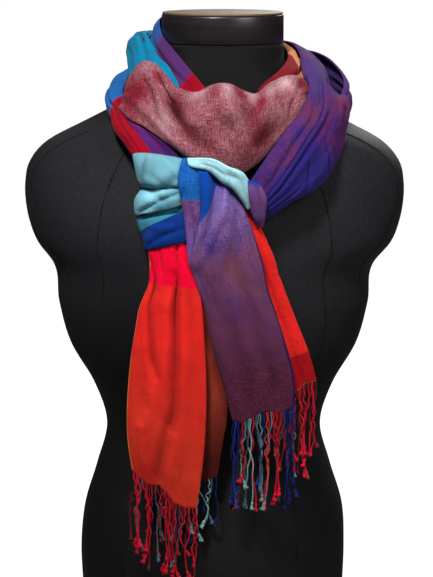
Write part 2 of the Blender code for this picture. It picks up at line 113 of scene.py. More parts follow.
# The dress form and the hard cap on its neck.
NECK_CENTRE = np.array((0.009, 0.0))
FORM_SIDES = 160
FORM_RING_STEP = 0.004
FORM_RADIUS = 0.12
CAP_BASE = 0.6206
CAP_TOP = 0.6500
CAP_DISC = 0.0022
CAP_EDGE = 0.0016
CAP_SLOPE = 0.4
DISC_GAP = 0.0001
DISC_INSET = 0.0008
DISC_EDGE = CAP_DISC * 0.4

# The form: height, middle, half width, depth in front of the middle and depth behind it.
FORM_SECTIONS = (
    (0, -1, 125, 91, 93),
    (10, -1, 128, 93, 96),
    (75, -1, 132.6, 97, 104),
    (114, -1, 133.7, 98, 106),
    (156, 0, 130.2, 94, 100),
    (198, 0, 117.6, 86, 86),
    (240, 0, 107.6, 79, 72),
    (281, 0, 119.9, 80, 70),
    (322, 0, 143.1, 88, 74),
    (363, 0, 154.2, 96, 80),
    (404, 0, 160.1, 102, 84),
    (424, 1, 175.8, 103, 86),
    (444, 1, 183.5, 103, 88),
    (464, 1, 187.2, 101, 89),
    (484, 1, 187.4, 97, 89),
    (504, 1, 182.6, 91, 87),
    (524, 1, 165, 84, 83),
    (544, 2, 127.8, 76, 77),
    (560, 3, 98, 70, 71),
    (575, 5, 79, 64, 65),
    (590, 7, 67, 58, 60),
    (603, 9, 61, 55, 57),
    (620, 9, 59.8, 54, 56),
)

# Each row of a cloth table: one edge (x, y, z), the other edge (x, y, z), and the bulge between them.
WRAP_INNER = (
    (-4, -70, 576, -24, -80, 558, 4),
    (-12, -62, 584, -30, -72, 566, 4),
    (-26, -50, 600, -40, -59, 578, 3),
    (-38, -34, 614, -50, -40, 590, 3),
    (-49, -12, 628, -58, -14, 603, 3),
    (-53, 14, 640, -62, 18, 612, 3),
    (-44, 42, 643, -54, 49, 612, 4),
    (-21, 57, 641, -28, 67, 606, 5),
    (9, 60, 638, 9, 71, 602, 5),
    (40, 57, 631, 49, 68, 597, 5),
    (62, 42, 619, 78, 50, 592, 6),
    (72, 14, 611, 88, 18, 586, 6),
    (72, -16, 603, 88, -20, 579, 6),
    (62, -42, 593, 79, -50, 570, 6),
    (50, -58, 585, 66, -68, 562, 5),
    (42, -66, 578, 56, -76, 556, 4),
)

WRAP_LEFT = (
    (4, 71, 622, 4, 85, 587, 6),
    (-28, 66, 624, -43, 80, 588, 6),
    (-50, 52, 625, -73, 62, 592, 16),
    (-57, 30, 624, -78, 34, 596, 18),
    (-51, 2, 617, -80, 2, 592, 16),
    (-43, -26, 606, -81, -24, 577, 13),
    (-37, -46, 595, -86, -46, 560, 12),
    (-31, -62, 582, -82, -66, 550, 8),
    (-32, -76, 562, -72, -84, 540, 5),
)

UNDER_LAYER_LEFT = (
    (-84, -74, 560, -58, -88, 556, 2),
    (-78, -86, 543, -39, -104, 537, 2),
    (-71, -96, 529, -24, -110, 525, 2),
    (-65, -102, 514, -18, -112, 512, 2),
)

TAIL_LEFT_BACK = (
    (-33, -120, 432, -8, -120, 432, 4),
    (-43, -118, 384, -8, -118, 384, 5),
    (-53, -113, 345, -2, -113, 347, 5),
    (-59, -108, 300, 11, -110, 301, 4),
    (-61, -107, 261, 12, -108, 264, 4),
    (-59, -106, 231, 7, -107, 236, 3),
    (-55, -105, 196, 3, -106, 211, 3),
)

TAIL_LEFT_FRONT = (
    (-61, -122, 452, -26, -123, 456, 4),
    (-60, -123, 432, -25, -124, 439, 6),
    (-59, -124, 417, -21, -125, 420, 6),
    (-60, -125, 401, -15, -125, 399, 6),
    (-68, -125, 381, -12, -125, 381, 6),
    (-73, -125, 356, -10, -125, 353, 6),
    (-78, -124, 323, -8, -124, 314, 6),
    (-81, -122, 287, -8, -123, 275, 5),
    (-81, -120, 250, -11, -122, 228, 5),
    (-77, -120, 220, -17, -122, 183, 2),
)

TAIL_RIGHT_EDGE = (
    (8, -114, 492, 23, -114, 492, 2),
    (18, -114, 458, 41, -112, 458, 3),
    (25, -113, 431, 54, -110, 431, 3),
    (33, -110, 402, 64, -107, 400, 3),
    (43, -106, 362, 79, -103, 360, 3),
    (52, -104, 329, 91, -101, 329, 3),
    (64, -103, 290, 98, -98, 303, 2),
)

TAIL_RIGHT_FRONT = (
    (-12, -114, 508, 18, -116, 504, 4),
    (-10, -119, 481, 26, -118, 478, 7),
    (-15, -123, 448, 37, -119, 448, 8),
    (-21, -124, 421, 46, -119, 418, 8),
    (-15, -122, 402, 50, -117, 397, 8),
    (-7, -121, 376, 58, -116, 373, 8),
    (0, -120, 339, 68, -115, 341, 7),
    (9, -118, 307, 75, -113, 314, 6),
    (19, -116, 268, 77, -112, 282, 4),
)

KNOT_STRAND = (
    (-28, -118, 520, -14, -120, 516, 3),
    (-32, -124, 502, -6, -124, 502, 7),
    (-29, -126, 481, -6, -124, 481, 8),
    (-26, -127, 462, -9, -124, 462, 7),
    (-24, -127, 440, -13, -124, 440, 5),
    (-22, -126, 420, -17, -124, 420, 2),
)

KNOT_BRIDGE = (
    (-24, -122, 520, -22, -122, 514, 1),
    (1, -128, 519, -2, -128, 508, 3),
    (13, -128, 513, 8, -128, 499, 4),
    (27, -127, 507, 18, -128, 493, 5),
    (34, -125, 493, 26, -126, 483, 4),
    (35, -122, 474, 32, -122, 473, 1),
)

COWL_FRONT = (
    (-80, -50, 590, -86, -66, 562, 3),
    (-69, -50, 603, -76, -80, 554, 6),
    (-57, -58, 603, -63, -92, 547, 9),
    (-46, -70, 594, -50, -101, 539, 10),
    (-34, -83, 582, -36, -112, 529, 10),
    (-15, -90, 578, -20, -122, 520, 10),
    (0, -92, 585, -4, -126, 519, 11),
    (14, -92, 586, 12, -128, 513, 12),
    (27, -91, 580, 26, -128, 508, 12),
    (38, -89, 576, 38, -124, 514, 12),
    (52, -82, 585, 54, -113, 529, 11),
    (68, -66, 591, 69, -99, 544, 10),
    (80, -52, 590, 82, -82, 556, 8),
    (87, -42, 584, 90, -62, 566, 5),
)

WRAP_RIGHT_INNER = (
    (-20, 73, 619, -24, 87, 588, 6),
    (14, 75, 620, 14, 90, 588, 6),
    (50, 68, 618, 60, 82, 590, 5),
    (75, 54, 616, 89, 61, 590, 6),
    (83, 30, 611, 104, 32, 592, 6),
    (86, 2, 605, 110, 2, 588, 6),
    (86, -22, 597, 112, -22, 578, 7),
    (87, -46, 586, 108, -48, 566, 8),
    (86, -68, 574, 103, -68, 553, 9),
    (80, -90, 558, 97, -88, 540, 9),
    (68, -104, 544, 86, -104, 526, 9),
    (54, -116, 525, 74, -114, 508, 8),
    (42, -122, 508, 64, -118, 492, 7),
    (34, -122, 496, 52, -118, 478, 5),
)

WRAP_OUTER = (
    (110, -46, 550, 115, -54, 530, 4),
    (119, -26, 562, 121, -30, 541, 4),
    (127, -4, 573, 129, -6, 549, 4),
    (128, 20, 584, 133, 20, 549, 5),
    (119, 42, 596, 130, 46, 550, 6),
    (103, 66, 605, 115, 74, 551, 8),
    (80, 80, 608, 92, 92, 552, 9),
    (50, 87, 610, 56, 104, 550, 9),
    (14, 90, 611, 14, 108, 550, 9),
    (-20, 86, 610, -24, 104, 552, 9),
    (-50, 75, 605, -60, 90, 556, 10),
    (-70, 62, 594, -86, 70, 558, 12),
    (-84, 34, 585, -98, 36, 558, 12),
    (-87, 4, 579, -99, 2, 556, 12),
    (-88, -18, 576, -98, -22, 555, 11),
    (-87, -40, 572, -97, -44, 551, 10),
    (-84, -60, 561, -97, -58, 551, 7),
    (-78, -80, 549, -93, -76, 541, 6),
    (-68, -96, 536, -83, -92, 530, 6),
    (-59, -107, 522, -73, -104, 517, 4),
    (-52, -110, 508, -64, -108, 504, 2),
)

STRAND_RIGHT_OUTER = (
    (106, -46, 584, 134, -8, 570, 3),
    (104, -60, 574, 130, -24, 551, 8),
    (99, -77, 560, 121, -48, 531, 11),
    (90, -92, 546, 114, -66, 512, 12),
    (80, -104, 531, 109, -80, 500, 12),
    (70, -112, 515, 100, -93, 491, 11),
    (61, -117, 502, 88, -103, 484, 10),
    (52, -119, 489, 73, -110, 478, 8),
    (42, -121, 478, 58, -114, 468, 6),
    (34, -121, 470, 45, -116, 462, 4),
)

KNOT_WRAP_UPPER = (
    (-75, -100, 521, -22, -112, 515, 12),
    (-73, -104, 511, -21, -115, 507, 22),
    (-70, -106, 499, -21, -116, 499, 25),
    (-67, -106, 490, -21, -116, 493, 19),
    (-73, -106, 479, -20, -116, 486, 22),
    (-73, -106, 465, -20, -116, 479, 19),
)

KNOT_WRAP_LOWER = (
    (-72, -106, 462, -19, -115, 477, 15),
    (-69, -108, 452, -19, -116, 466, 19),
    (-66, -110, 442, -18, -118, 453, 19),
    (-64, -112, 432, -18, -120, 442, 12),
)

KNOT_END = (
    (33, -122, 500, 43, -120, 496, 2),
    (34, -122, 485, 49, -118, 482, 4),
    (36, -120, 473, 48, -116, 469, 4),
    (41, -116, 456, 46, -115, 455, 1),
)

# Creases, one by one: from one place to another on the stretch, each as the share along it and the share
# across it, then in mm how far its middle bows to the side, its depth (a ridge is negative) and its width.
CREASES = {
    "wrap_inner": (
        (0.0, 0.5, 1.0, 0.5, 0, 4, 4),
        (0.02, 0.30, 0.25, 0.62, 2, 1.5, 3),
        (0.62, 0.35, 0.96, 0.60, 3, 2.0, 4),
    ),
    "wrap_left": (
        (0.33, 0.10, 0.56, 0.30, 0, 11, 3.2),
        (0.40, -0.10, 0.46, 0.34, 0, 7, 4.5),
        (0.54, 0.31, 0.98, 0.46, 2, 3.5, 4),
        (0.50, 0.70, 0.86, 0.74, 3, 2.5, 4),
        (0.02, 0.35, 0.34, 0.55, 3, 2.5, 5),
    ),
    "under_layer_left": (
        (0.1, 0.3, 0.9, 0.5, 2, 1.5, 4),
    ),
    "tail_left_back": (
        (0.1, 0.69, 1.0, 0.60, 0, 5, 7),
        (0.45, 0.30, 1.0, 0.35, 3, 2.5, 6),
    ),
    "tail_left_front": (
        (0.0, 0.80, 0.24, 0.57, 0, 4, 4),
        (0.17, 0.56, 0.76, 0.58, 1, 10, 4.6),
        (0.70, 0.58, 1.02, 0.36, -1, 8, 5),
        (0.10, 0.02, 0.24, 0.14, 0, 4.5, 3),
        (0.18, 0.10, 0.57, 0.33, -1, 7.5, 3.6),
        (0.24, 0.44, 0.60, 0.46, 0, -2.4, 4),
        (0.0, 0.30, 0.16, 0.28, 0, 2.4, 2.4),
        (0.0, 0.55, 0.11, 0.50, 1, 1.8, 2.2),
        (0.26, 0.84, 0.62, 0.80, 2, 2.2, 4),
        (0.60, 0.30, 0.80, 0.14, 5, -2.6, 6),
        (0.66, 0.76, 0.98, 0.70, 2, 2.0, 5),
    ),
    "tail_right_front": (
        (0.02, 0.72, 0.22, 0.32, 2, -5, 6),
        (0.20, 0.34, 0.38, 0.08, 0, -3, 5),
        (0.12, 0.88, 0.44, 0.44, -2, 3.5, 6),
        (0.30, 0.60, 1.0, 0.70, 0, 3.5, 8),
        (0.10, 0.88, 0.60, 0.90, 2, 1.8, 4),
        (0.55, 0.22, 1.0, 0.30, 3, 2.4, 8),
    ),
    "tail_right_edge": (
        (0.2, 0.6, 1.0, 0.6, 0, 3, 4),
        (0.5, 0.25, 0.95, 0.3, 2, 1.4, 3),
    ),
    "cowl_front": (
        (0.16, 0.10, 0.31, 0.31, 0, 6, 3.2),
        (0.24, 0.26, 0.50, 0.90, 5, 8, 9),
        (0.05, 0.72, 0.36, 0.96, 3, -4, 7),
        (0.10, 0.32, 0.20, 0.70, -2, 3.4, 5),
        (0.49, 0.06, 0.54, 0.50, 0, -5, 7),
        (0.60, 0.14, 0.69, 0.88, 3, 8, 9),
        (0.78, 0.10, 0.88, 0.52, -3, -4, 7),
        (0.90, 0.30, 0.82, 0.80, 2, 3.4, 6),
        (0.40, 0.70, 0.60, 0.98, 0, -3, 6),
    ),
    "wrap_right_inner": (
        (0.46, 0.90, 0.96, 0.86, 0, 5, 4),
        (0.72, 0.36, 0.99, 0.52, 2, 3.0, 4),
        (0.05, 0.40, 0.32, 0.58, 3, 2.4, 6),
    ),
    "strand_right_outer": (
        (0.30, 0.10, 0.92, 0.16, -2, 5.0, 3.6),
        (0.44, 0.30, 0.58, 0.94, 1, 3.0, 2.0),
        (0.60, 0.26, 0.76, 0.84, 1, 3.0, 2.0),
        (0.10, 0.60, 0.34, 0.78, 2, 2.4, 6),
        (0.74, 0.60, 0.98, 0.56, 2, 2.0, 2.6),
    ),
    "wrap_outer": (
        (0.05, 0.305, 0.62, 0.36, 4, 5, 4.5),
        (0.15, 0.665, 0.70, 0.61, -4, 5, 4.5),
        (0.58, 0.48, 0.99, 0.50, 0, 4.5, 3.6),
        (0.28, 0.16, 0.52, 0.22, 3, 2.4, 4),
        (0.30, 0.84, 0.58, 0.82, -3, 2.2, 4),
        (0.62, 0.26, 0.78, 0.22, 2, 2.0, 3),
        (0.60, 0.76, 0.74, 0.80, 2, 2.0, 3),
    ),
    "knot_wrap_upper": (
        (0.57, -0.10, 0.58, 0.92, 1, 8.5, 3.0),
        (0.04, 0.26, 0.46, 0.08, 2, 3.4, 4),
        (0.20, 0.98, 0.52, 0.46, 3, 4.4, 4),
        (0.50, 0.56, 0.66, 1.0, -1, -3.4, 2.2),
        (1.0, 0.06, 0.72, 0.84, 1, 5.0, 2.4),
        (0.68, 0.24, 0.86, 0.62, 2, 2.8, 3),
        (0.10, 0.56, 0.32, 0.84, 1, -2.4, 3),
        (0.30, 0.20, 0.44, 0.56, 1, 1.8, 2.4),
    ),
    "knot_wrap_lower": (
        (0.10, 0.02, 0.24, 0.98, 2, 4.0, 2.2),
        (0.92, 0.06, 0.62, 0.94, 2, 2.8, 3),
        (0.45, 0.30, 0.60, 0.75, 0, -2.2, 4),
    ),
    "knot_strand": (
        (0.05, 0.62, 0.60, 0.74, 1, 2.6, 2.4),
        (0.40, 0.24, 1.0, 0.50, 1, 2.4, 2.6),
    ),
    "knot_bridge": (
        (0.10, 0.60, 0.60, 0.40, 1, 1.2, 2.5),
        (0.45, 0.30, 0.90, 0.60, 1, 1.4, 3),
    ),
    "knot_end": (
        (0.1, 0.5, 0.9, 0.5, 0, 1.0, 2),
    ),
}

# How far the open upper end of a roll dips below the line between its corners: share across, drop in mm.
LIP_DROPS = {
    "strand_right_outer": ((0, 0), (0.25, 5), (0.5, 8), (0.75, 6), (1, 0)),
}
LIP_REACH = 0.03

# How far a hem hangs below the straight line between its corners: share across it, drop in mm.
HEM_DROPS = {
    "tail_left_front": ((0, 0), (0.14, 3), (0.27, 4.4), (0.45, -2), (0.55, 2), (0.66, 7), (0.84, 6), (1, 0)),
    "tail_left_back": ((0, 0), (0.3, 3), (0.6, -1), (0.8, 2), (1, 0)),
    "tail_right_front": ((0, 0), (0.15, 4), (0.5, -2), (0.8, 3), (1, 0)),
    "tail_right_edge": ((0, 0), (0.4, 3), (0.7, -2), (1, 0)),
}
HEM_REACH = 0.045


def linear(red, green, blue):
    """A colour read as 0 to 255 on a screen, made linear."""
    found = []
    for value in (red, green, blue):
        share = value / 255
        found.append(share / 12.92 if share <= 0.04045 else ((share + 0.055) / 1.055) ** 2.4)
    return tuple(found)


BLACK = (0.0, 0.0, 0.0)
WHITE = (1.0, 1.0, 1.0)

# The shawl's yarns.
CYAN = linear(0, 114, 152)
DEEP_CYAN = linear(0, 96, 150)
PALE_TEAL = linear(120, 176, 190)
MILK_TEAL = linear(158, 208, 216)
SEA_TEAL = linear(52, 122, 142)
ROYAL_BLUE = linear(8, 66, 156)
STEEL_BLUE = linear(30, 104, 168)
NAVY = linear(10, 20, 74)
CRIMSON = linear(206, 0, 34)
DEEP_CRIMSON = linear(156, 0, 28)
DARK_CRIMSON = linear(112, 0, 22)
BRIGHT_CRIMSON = linear(232, 0, 48)
ORANGE_RED = linear(234, 44, 32)
SCARLET = linear(212, 24, 30)
COPPER = linear(218, 60, 38)
BRICK = linear(168, 22, 18)
ORANGE = linear(222, 118, 60)
TAN = linear(178, 132, 88)
RUST = linear(136, 48, 32)
DARK_RUST = linear(70, 18, 14)
VIOLET_BLUE = linear(40, 32, 108)
VIOLET = linear(112, 84, 156)
PALE_VIOLET = linear(138, 112, 176)
PURPLE = linear(108, 30, 92)
PLUM = linear(98, 40, 72)
BROWN_PLUM = linear(62, 26, 36)
DUSTY_PLUM = linear(132, 74, 88)
PLUM_RED = linear(128, 26, 70)
MAROON = linear(114, 14, 34)
GREY_PINK = linear(196, 164, 172)

# Yarn blocks along each stretch: the first one's warp and weft, and for each later one the share of the
# length where it starts, how much of the length the change takes, how far its border leans and bows from one
# edge to the other, then its warp and weft.
BLOCKS = {
    "wrap_inner": (
        (DEEP_CRIMSON, DARK_CRIMSON),
        (0.060, 0.01, 0.0, 0.0, PLUM, VIOLET_BLUE),
        (0.13, 0.06, 0.0, 0.0, PLUM, VIOLET_BLUE),
        (0.205, 0.04, 0.0, 0.0, STEEL_BLUE, VIOLET_BLUE),
        (0.42, 0.01, 0.0, 0.0, DEEP_CYAN, STEEL_BLUE),
        (0.64, 0.01, 0.0, 0.0, ORANGE, TAN),
        (0.87, 0.01, 0.16, 0.0, DARK_CRIMSON, DARK_CRIMSON),
    ),
    "wrap_left": (
        (STEEL_BLUE, DEEP_CYAN),
        (0.22, 0.02, 0.1, 0.0, DEEP_CYAN, CYAN),
        (0.40, 0.03, 0.0, 0.0, CYAN, CYAN),
    ),
    "under_layer_left": (
        (PURPLE, PLUM_RED),
        (0.35, 0.3, 0.2, 0.0, PURPLE, VIOLET_BLUE),
    ),
    "tail_left_back": (
        (RUST, DARK_RUST),
        (0.25, 0.2, 0.0, 0.0, RUST, RUST),
        (0.75, 0.3, 0.0, 0.0, DARK_RUST, DARK_RUST),
    ),
    "tail_left_front": (
        (BRIGHT_CRIMSON, BRIGHT_CRIMSON),
        (0.215, 0.006, 0.012, 0.0, ORANGE_RED, SCARLET),
        (0.66, 0.5, 0.0, 0.0, COPPER, BRICK),
    ),
    "tail_right_edge": (
        (SCARLET, ORANGE_RED),
        (0.85, 0.01, -0.07, 0.0, DEEP_CRIMSON, BRICK),
    ),
    "tail_right_front": (
        (ROYAL_BLUE, ROYAL_BLUE),
        (0.050, 0.012, -0.165, 0.082, PALE_VIOLET, VIOLET_BLUE),
        (0.24, 0.24, -0.10, 0.0, DUSTY_PLUM, VIOLET_BLUE),
        (0.62, 0.50, 0.0, 0.0, BROWN_PLUM, PLUM),
    ),
    "knot_strand": (
        (ROYAL_BLUE, STEEL_BLUE),
        (0.385, 0.012, 0.03, 0.0, PLUM, VIOLET),
        (0.70, 0.3, 0.0, 0.0, VIOLET, VIOLET),
    ),
    "knot_bridge": ((MILK_TEAL, MILK_TEAL),),
    "cowl_front": ((MAROON, GREY_PINK),),
    "wrap_right_inner": (
        (PLUM, VIOLET_BLUE),
        (0.36, 0.16, 0.0, 0.0, VIOLET_BLUE, PLUM),
        (0.82, 0.2, 0.0, 0.0, VIOLET_BLUE, PLUM),
    ),
    "wrap_outer": (
        (VIOLET_BLUE, PLUM),
        (0.34, 0.01, 0.0, 0.0, VIOLET_BLUE, ROYAL_BLUE),
        (0.50, 0.01, 0.0, 0.0, ROYAL_BLUE, STEEL_BLUE),
        (0.66, 0.02, 0.0, 0.0, STEEL_BLUE, ROYAL_BLUE),
        (0.842, 0.008, 0.03, 0.0, DEEP_CRIMSON, DARK_CRIMSON),
    ),
    "strand_right_outer": (
        (VIOLET_BLUE, PLUM_RED),
        (0.40, 0.3, 0.0, 0.0, VIOLET_BLUE, VIOLET_BLUE),
    ),
    "knot_wrap_upper": ((PALE_TEAL, SEA_TEAL),),
    "knot_wrap_lower": (
        (SEA_TEAL, SEA_TEAL),
        (0.31, 0.02, -0.30, 0.0, ROYAL_BLUE, NAVY),
    ),
    "knot_end": (
        (ROYAL_BLUE, ROYAL_BLUE),
        (0.06, 0.03, 0.0, 0.0, VIOLET, PLUM),
    ),
}

# How each weave looks: its streaks, clouds and speckle, how much the weft shows, and its selvedge, if one
# shows, by the side it is on (0 or 1), its colour and its share of the width.
LOOKS = {
    "wrap_inner": (0.9, 0.9, 0.5, 0.5, (1, TAN, 0.05)),
    "wrap_left": (0.8, 1.0, 0.35, 0.5, None),
    "under_layer_left": (0.9, 1.2, 0.5, 0.5, None),
    "tail_left_back": (0.9, 0.6, 0.5, 0.5, None),
    "tail_left_front": (1.5, 0.8, 0.4, 0.4, (0, ORANGE, 0.012)),
    "tail_right_edge": (0.6, 0.4, 0.3, 0.5, None),
    "tail_right_front": (1.5, 0.7, 1.1, 0.42, (1, NAVY, 0.035)),
    "knot_strand": (1.2, 0.6, 0.5, 0.5, None),
    "knot_bridge": (0.8, 0.4, 0.5, 0.5, None),
    "cowl_front": (0.7, 0.3, 0.3, 0.20, None),
    "wrap_right_inner": (1.2, 1.4, 0.7, 0.35, None),
    "wrap_outer": (0.9, 1.1, 0.5, 0.3, None),
    "strand_right_outer": (1.2, 1.3, 0.7, 0.3, (1, CRIMSON, 0.018)),
    "knot_wrap_upper": (0.9, 0.9, 0.5, 0.25, None),
    "knot_wrap_lower": (0.8, 0.5, 0.5, 0.5, None),
    "knot_end": (1.2, 0.8, 0.5, 0.5, None),
}
SHEEN_TINTS = {"cowl_front": (1.0, 0.9, 0.93)}

# Patches where one yarn of a shot cloth shows more, partly the cloth's own clouding and partly painted sheen
# and
# painted shade: share along, share across, radius in mm, and how much the weft wins over the warp there.
SHEEN_AND_YARN_PATCHES = {
    "cowl_front": (
        (0.05, 0.66, 15, -0.4),
        (0.10, 0.45, 12, -0.2),
        (0.10, 0.14, 9, 0.1),
        (0.18, 0.20, 8, -0.3),
        (0.30, 0.34, 10, -0.3),
        (0.25, 0.72, 12, 0.2),
        (0.36, 0.62, 14, -0.1),
        (0.39, 0.10, 8, 0.3),
        (0.47, 0.16, 7, -0.3),
        (0.51, 0.12, 8, 0.4),
        (0.57, 0.10, 7, -0.25),
        (0.62, 0.07, 8, 0.4),
        (0.67, 0.28, 8, -0.4),
        (0.72, 0.18, 7, 0.3),
        (0.80, 0.18, 10, 0.45),
        (0.93, 0.32, 8, -0.6),
        (0.68, 0.72, 16, -0.15),
        (0.58, 0.80, 16, -0.1),
        (0.50, 0.50, 16, -0.05),
    ),
    "tail_left_front": (
        (0.72, 0.22, 18, -0.3),
        (0.95, 0.25, 22, 0.4),
    ),
    "tail_right_front": (
        (0.30, 0.30, 10, 0.4),
        (0.40, 0.62, 14, -0.3),
        (0.55, 0.40, 18, 0.15),
        (0.14, 0.50, 14, -0.12),
    ),
    "wrap_right_inner": (
        (0.60, 0.5, 14, -0.3),
        (0.74, 0.3, 14, 0.5),
        (0.86, 0.5, 12, 0.3),
    ),
    "strand_right_outer": (
        (0.12, 0.5, 14, 0.4),
        (0.40, 0.35, 12, 0.35),
        (0.60, 0.75, 16, -0.5),
    ),
    "knot_wrap_upper": (
        (0.75, 0.40, 12, -0.35),
        (0.16, 0.50, 14, -0.25),
        (0.92, 0.50, 8, 0.5),
        (0.52, 0.60, 7, 0.5),
    ),
    "wrap_left": (
        (0.50, 0.35, 12, 0.4),
        (0.66, 0.6, 14, -0.4),
    ),
}

# Painted shade and painted highlights where folds would shade a cloth or catch the light: share along, share
# across, radius in mm, change of the tone.
PAINTED_SHADE_AND_HIGHLIGHTS = {
    "cowl_front": (
        (0.31, 0.36, 13, -0.50),
        (0.40, 0.70, 14, -0.20),
        (0.52, 0.50, 12, -0.50),
        (0.59, 0.86, 17, -0.58),
        (0.70, 0.68, 15, -0.62),
        (0.84, 0.40, 12, 0.30),
    ),
    "wrap_left": ((0.44, 0.22, 6, -0.9),),
    "knot_wrap_upper": (
        (0.81, 0.34, 12, 0.60),
        (0.24, 0.36, 16, -0.30),
        (0.55, 0.40, 8, -0.15),
    ),
    "tail_right_front": ((0.14, 0.50, 14, 0.05),),
}


# Where the cloth goes

def rows_at(table, places, wanted):
    """Rows read from a smooth curve through a table's rows, which lie at the given places."""
    slopes = np.gradient(table, places, axis=0)
    i = np.clip(np.searchsorted(places, wanted, side="right") - 1, 0, len(places) - 2)
    span = (places[i + 1] - places[i])[:, None]
    t = (wanted - places[i])[:, None] / span
    start = (2 * t**3 - 3 * t**2 + 1) * table[i] + (t**3 - 2 * t**2 + t) * span * slopes[i]
    end = (3 * t**2 - 2 * t**3) * table[i + 1] + (t**3 - t**2) * span * slopes[i + 1]
    return start + end


def section_places(rows):
    """How far along the stretch each of a table's sections lies, in mm."""
    middles = (rows[:, 0:3] + rows[:, 3:6]) / 2
    steps = np.linalg.norm(np.diff(middles, axis=0), axis=1)
    return np.concatenate([[0.0], np.cumsum(steps)])


def unit(vectors):
    return vectors / np.maximum(np.linalg.norm(vectors, axis=-1, keepdims=True), 1e-9)


def outward(points, round_neck):
    """The way out from the form: away from the neck, or straight to the front."""
    away = np.zeros_like(points)
    if round_neck:
        away[..., 0:2] = points[..., 0:2] - NECK_CENTRE
    else:
        away[..., 1] = -1.0
    return unit(away)


def surface_normals(grid, round_neck):
    """The cloth's own direction at each point, turned outwards."""
    normals = unit(np.cross(np.gradient(grid, axis=0), np.gradient(grid, axis=1)))
    middle = (grid.shape[0] // 2, grid.shape[1] // 2)
    if np.dot(normals[middle], outward(grid, round_neck)[middle]) < 0:
        normals = -normals
    return normals


def crease_depth(creases, along, across, length, width):
    """How far the creases of a stretch sink each of its points, in metres."""
    depth = np.zeros(np.broadcast(along, across).shape)
    for start, start_side, end, end_side, bow, deep, wide in creases:
        run = np.array(((end - start) * length, (end_side - start_side) * width))
        reach = np.linalg.norm(run)
        ahead = (along - start) * length
        aside = (across - start_side) * width
        share = np.clip((ahead * run[0] + aside * run[1]) / reach**2, 0.0, 1.0)
        off_ahead = ahead - share * run[0]
        off_aside = aside - share * run[1]
        from_line = (off_aside * run[0] - off_ahead * run[1]) / reach
        side = from_line - bow * 4 * share * (1 - share)
        beyond = np.hypot(off_ahead, off_aside) ** 2 - from_line**2
        off = (side**2 + np.maximum(beyond, 0.0)) / wide**2
        fade = np.minimum(1.0, CREASE_RISE * np.minimum(share, 1 - share) + CREASE_END)
        trough = np.exp(-off) - RIDGE_HEIGHT * np.exp(-off / RIDGE_SPREAD)
        depth += deep * MM * fade * trough
    return depth


def soft_noise(along, across, stretch_along, stretch_across, seed):
    """Uneven swells of the cloth, between -1 and 1."""
    found = np.zeros(along.shape)
    for index in np.ndindex(along.shape):
        place = Vector((along[index] / stretch_along, across[index] / stretch_across, seed))
        found[index] = noise.noise(place)
    return found


def lofted(name, rows, round_neck):
    """A fine grid of points for a stretch, with its creases, and how far they sink each point, in mm."""
    rows = np.array(rows, float)
    places = section_places(rows)
    widths = np.linalg.norm(rows[:, 3:6] - rows[:, 0:3], axis=1) + rows[:, 6]
    length = places[-1]
    width = widths.mean()
    count_along = int(length * MM / CLOTH_SQUARE) + 2
    count_across = int(widths.max() * MM / CLOTH_SQUARE * ARCH_SQUARES) + EDGE_SQUARES
    sections = rows_at(rows, places, np.linspace(0.0, length, count_along))
    one = sections[:, 0:3] * MM
    other = sections[:, 3:6] * MM
    forward = np.gradient((one + other) / 2, axis=0)
    normals = unit(np.cross(forward, other - one))
    facing = (normals * outward((one + other) / 2, round_neck)).sum(axis=1)
    normals[facing < 0] *= -1
    angle = np.linspace(0, math.pi, count_across)
    share = (1 - np.cos(angle)) / 2
    arch = np.abs(np.sin(angle))
    along, across = np.meshgrid(np.linspace(0, 1, count_along), share, indexing="ij")
    flat_along, flat_across = along * length, across * width
    swell = np.zeros(along.shape)
    for size_along, size_across, seed, height in SWELLS:
        swell += soft_noise(flat_along, flat_across, size_along, size_across, len(name) + seed) * height
    sunk = crease_depth(CREASES.get(name, ()), along, across, length, width) - swell * MM
    rise = (sections[:, 6] * MM)[:, None] * arch[None, :] - sunk * np.sqrt(arch)[None, :]
    grid = one[:, None] + (other - one)[:, None] * share[None, :, None] + normals[:, None] * rise[:, :, None]
    for table, from_end, reach in ((HEM_DROPS, 1 - along, HEM_REACH), (LIP_DROPS, along, LIP_REACH)):
        drops = np.array(table.get(name, ((0, 0), (1, 0))), float)
        drop = np.interp(share, drops[:, 0], drops[:, 1]) * MM
        near = np.clip(1 - from_end * length * MM / reach, 0, 1) ** 2
        grid[:, :, 2] -= near * drop[None, :]
    return grid, sunk / MM


def neighbours(values):
    along, across = values.shape
    padded = np.pad(values, 1, mode="edge")
    return [padded[a : a + along, b : b + across] for a in range(3) for b in range(3)]


def spread(values):
    """Each value raised to the largest near it, then softened."""
    found = values
    for _ in range(SOFTENING_ROUNDS):
        found = np.max(neighbours(found), axis=0)
    for _ in range(SOFTENING_ROUNDS * 2):
        found = np.mean(neighbours(found), axis=0)
    return np.maximum(found, values)


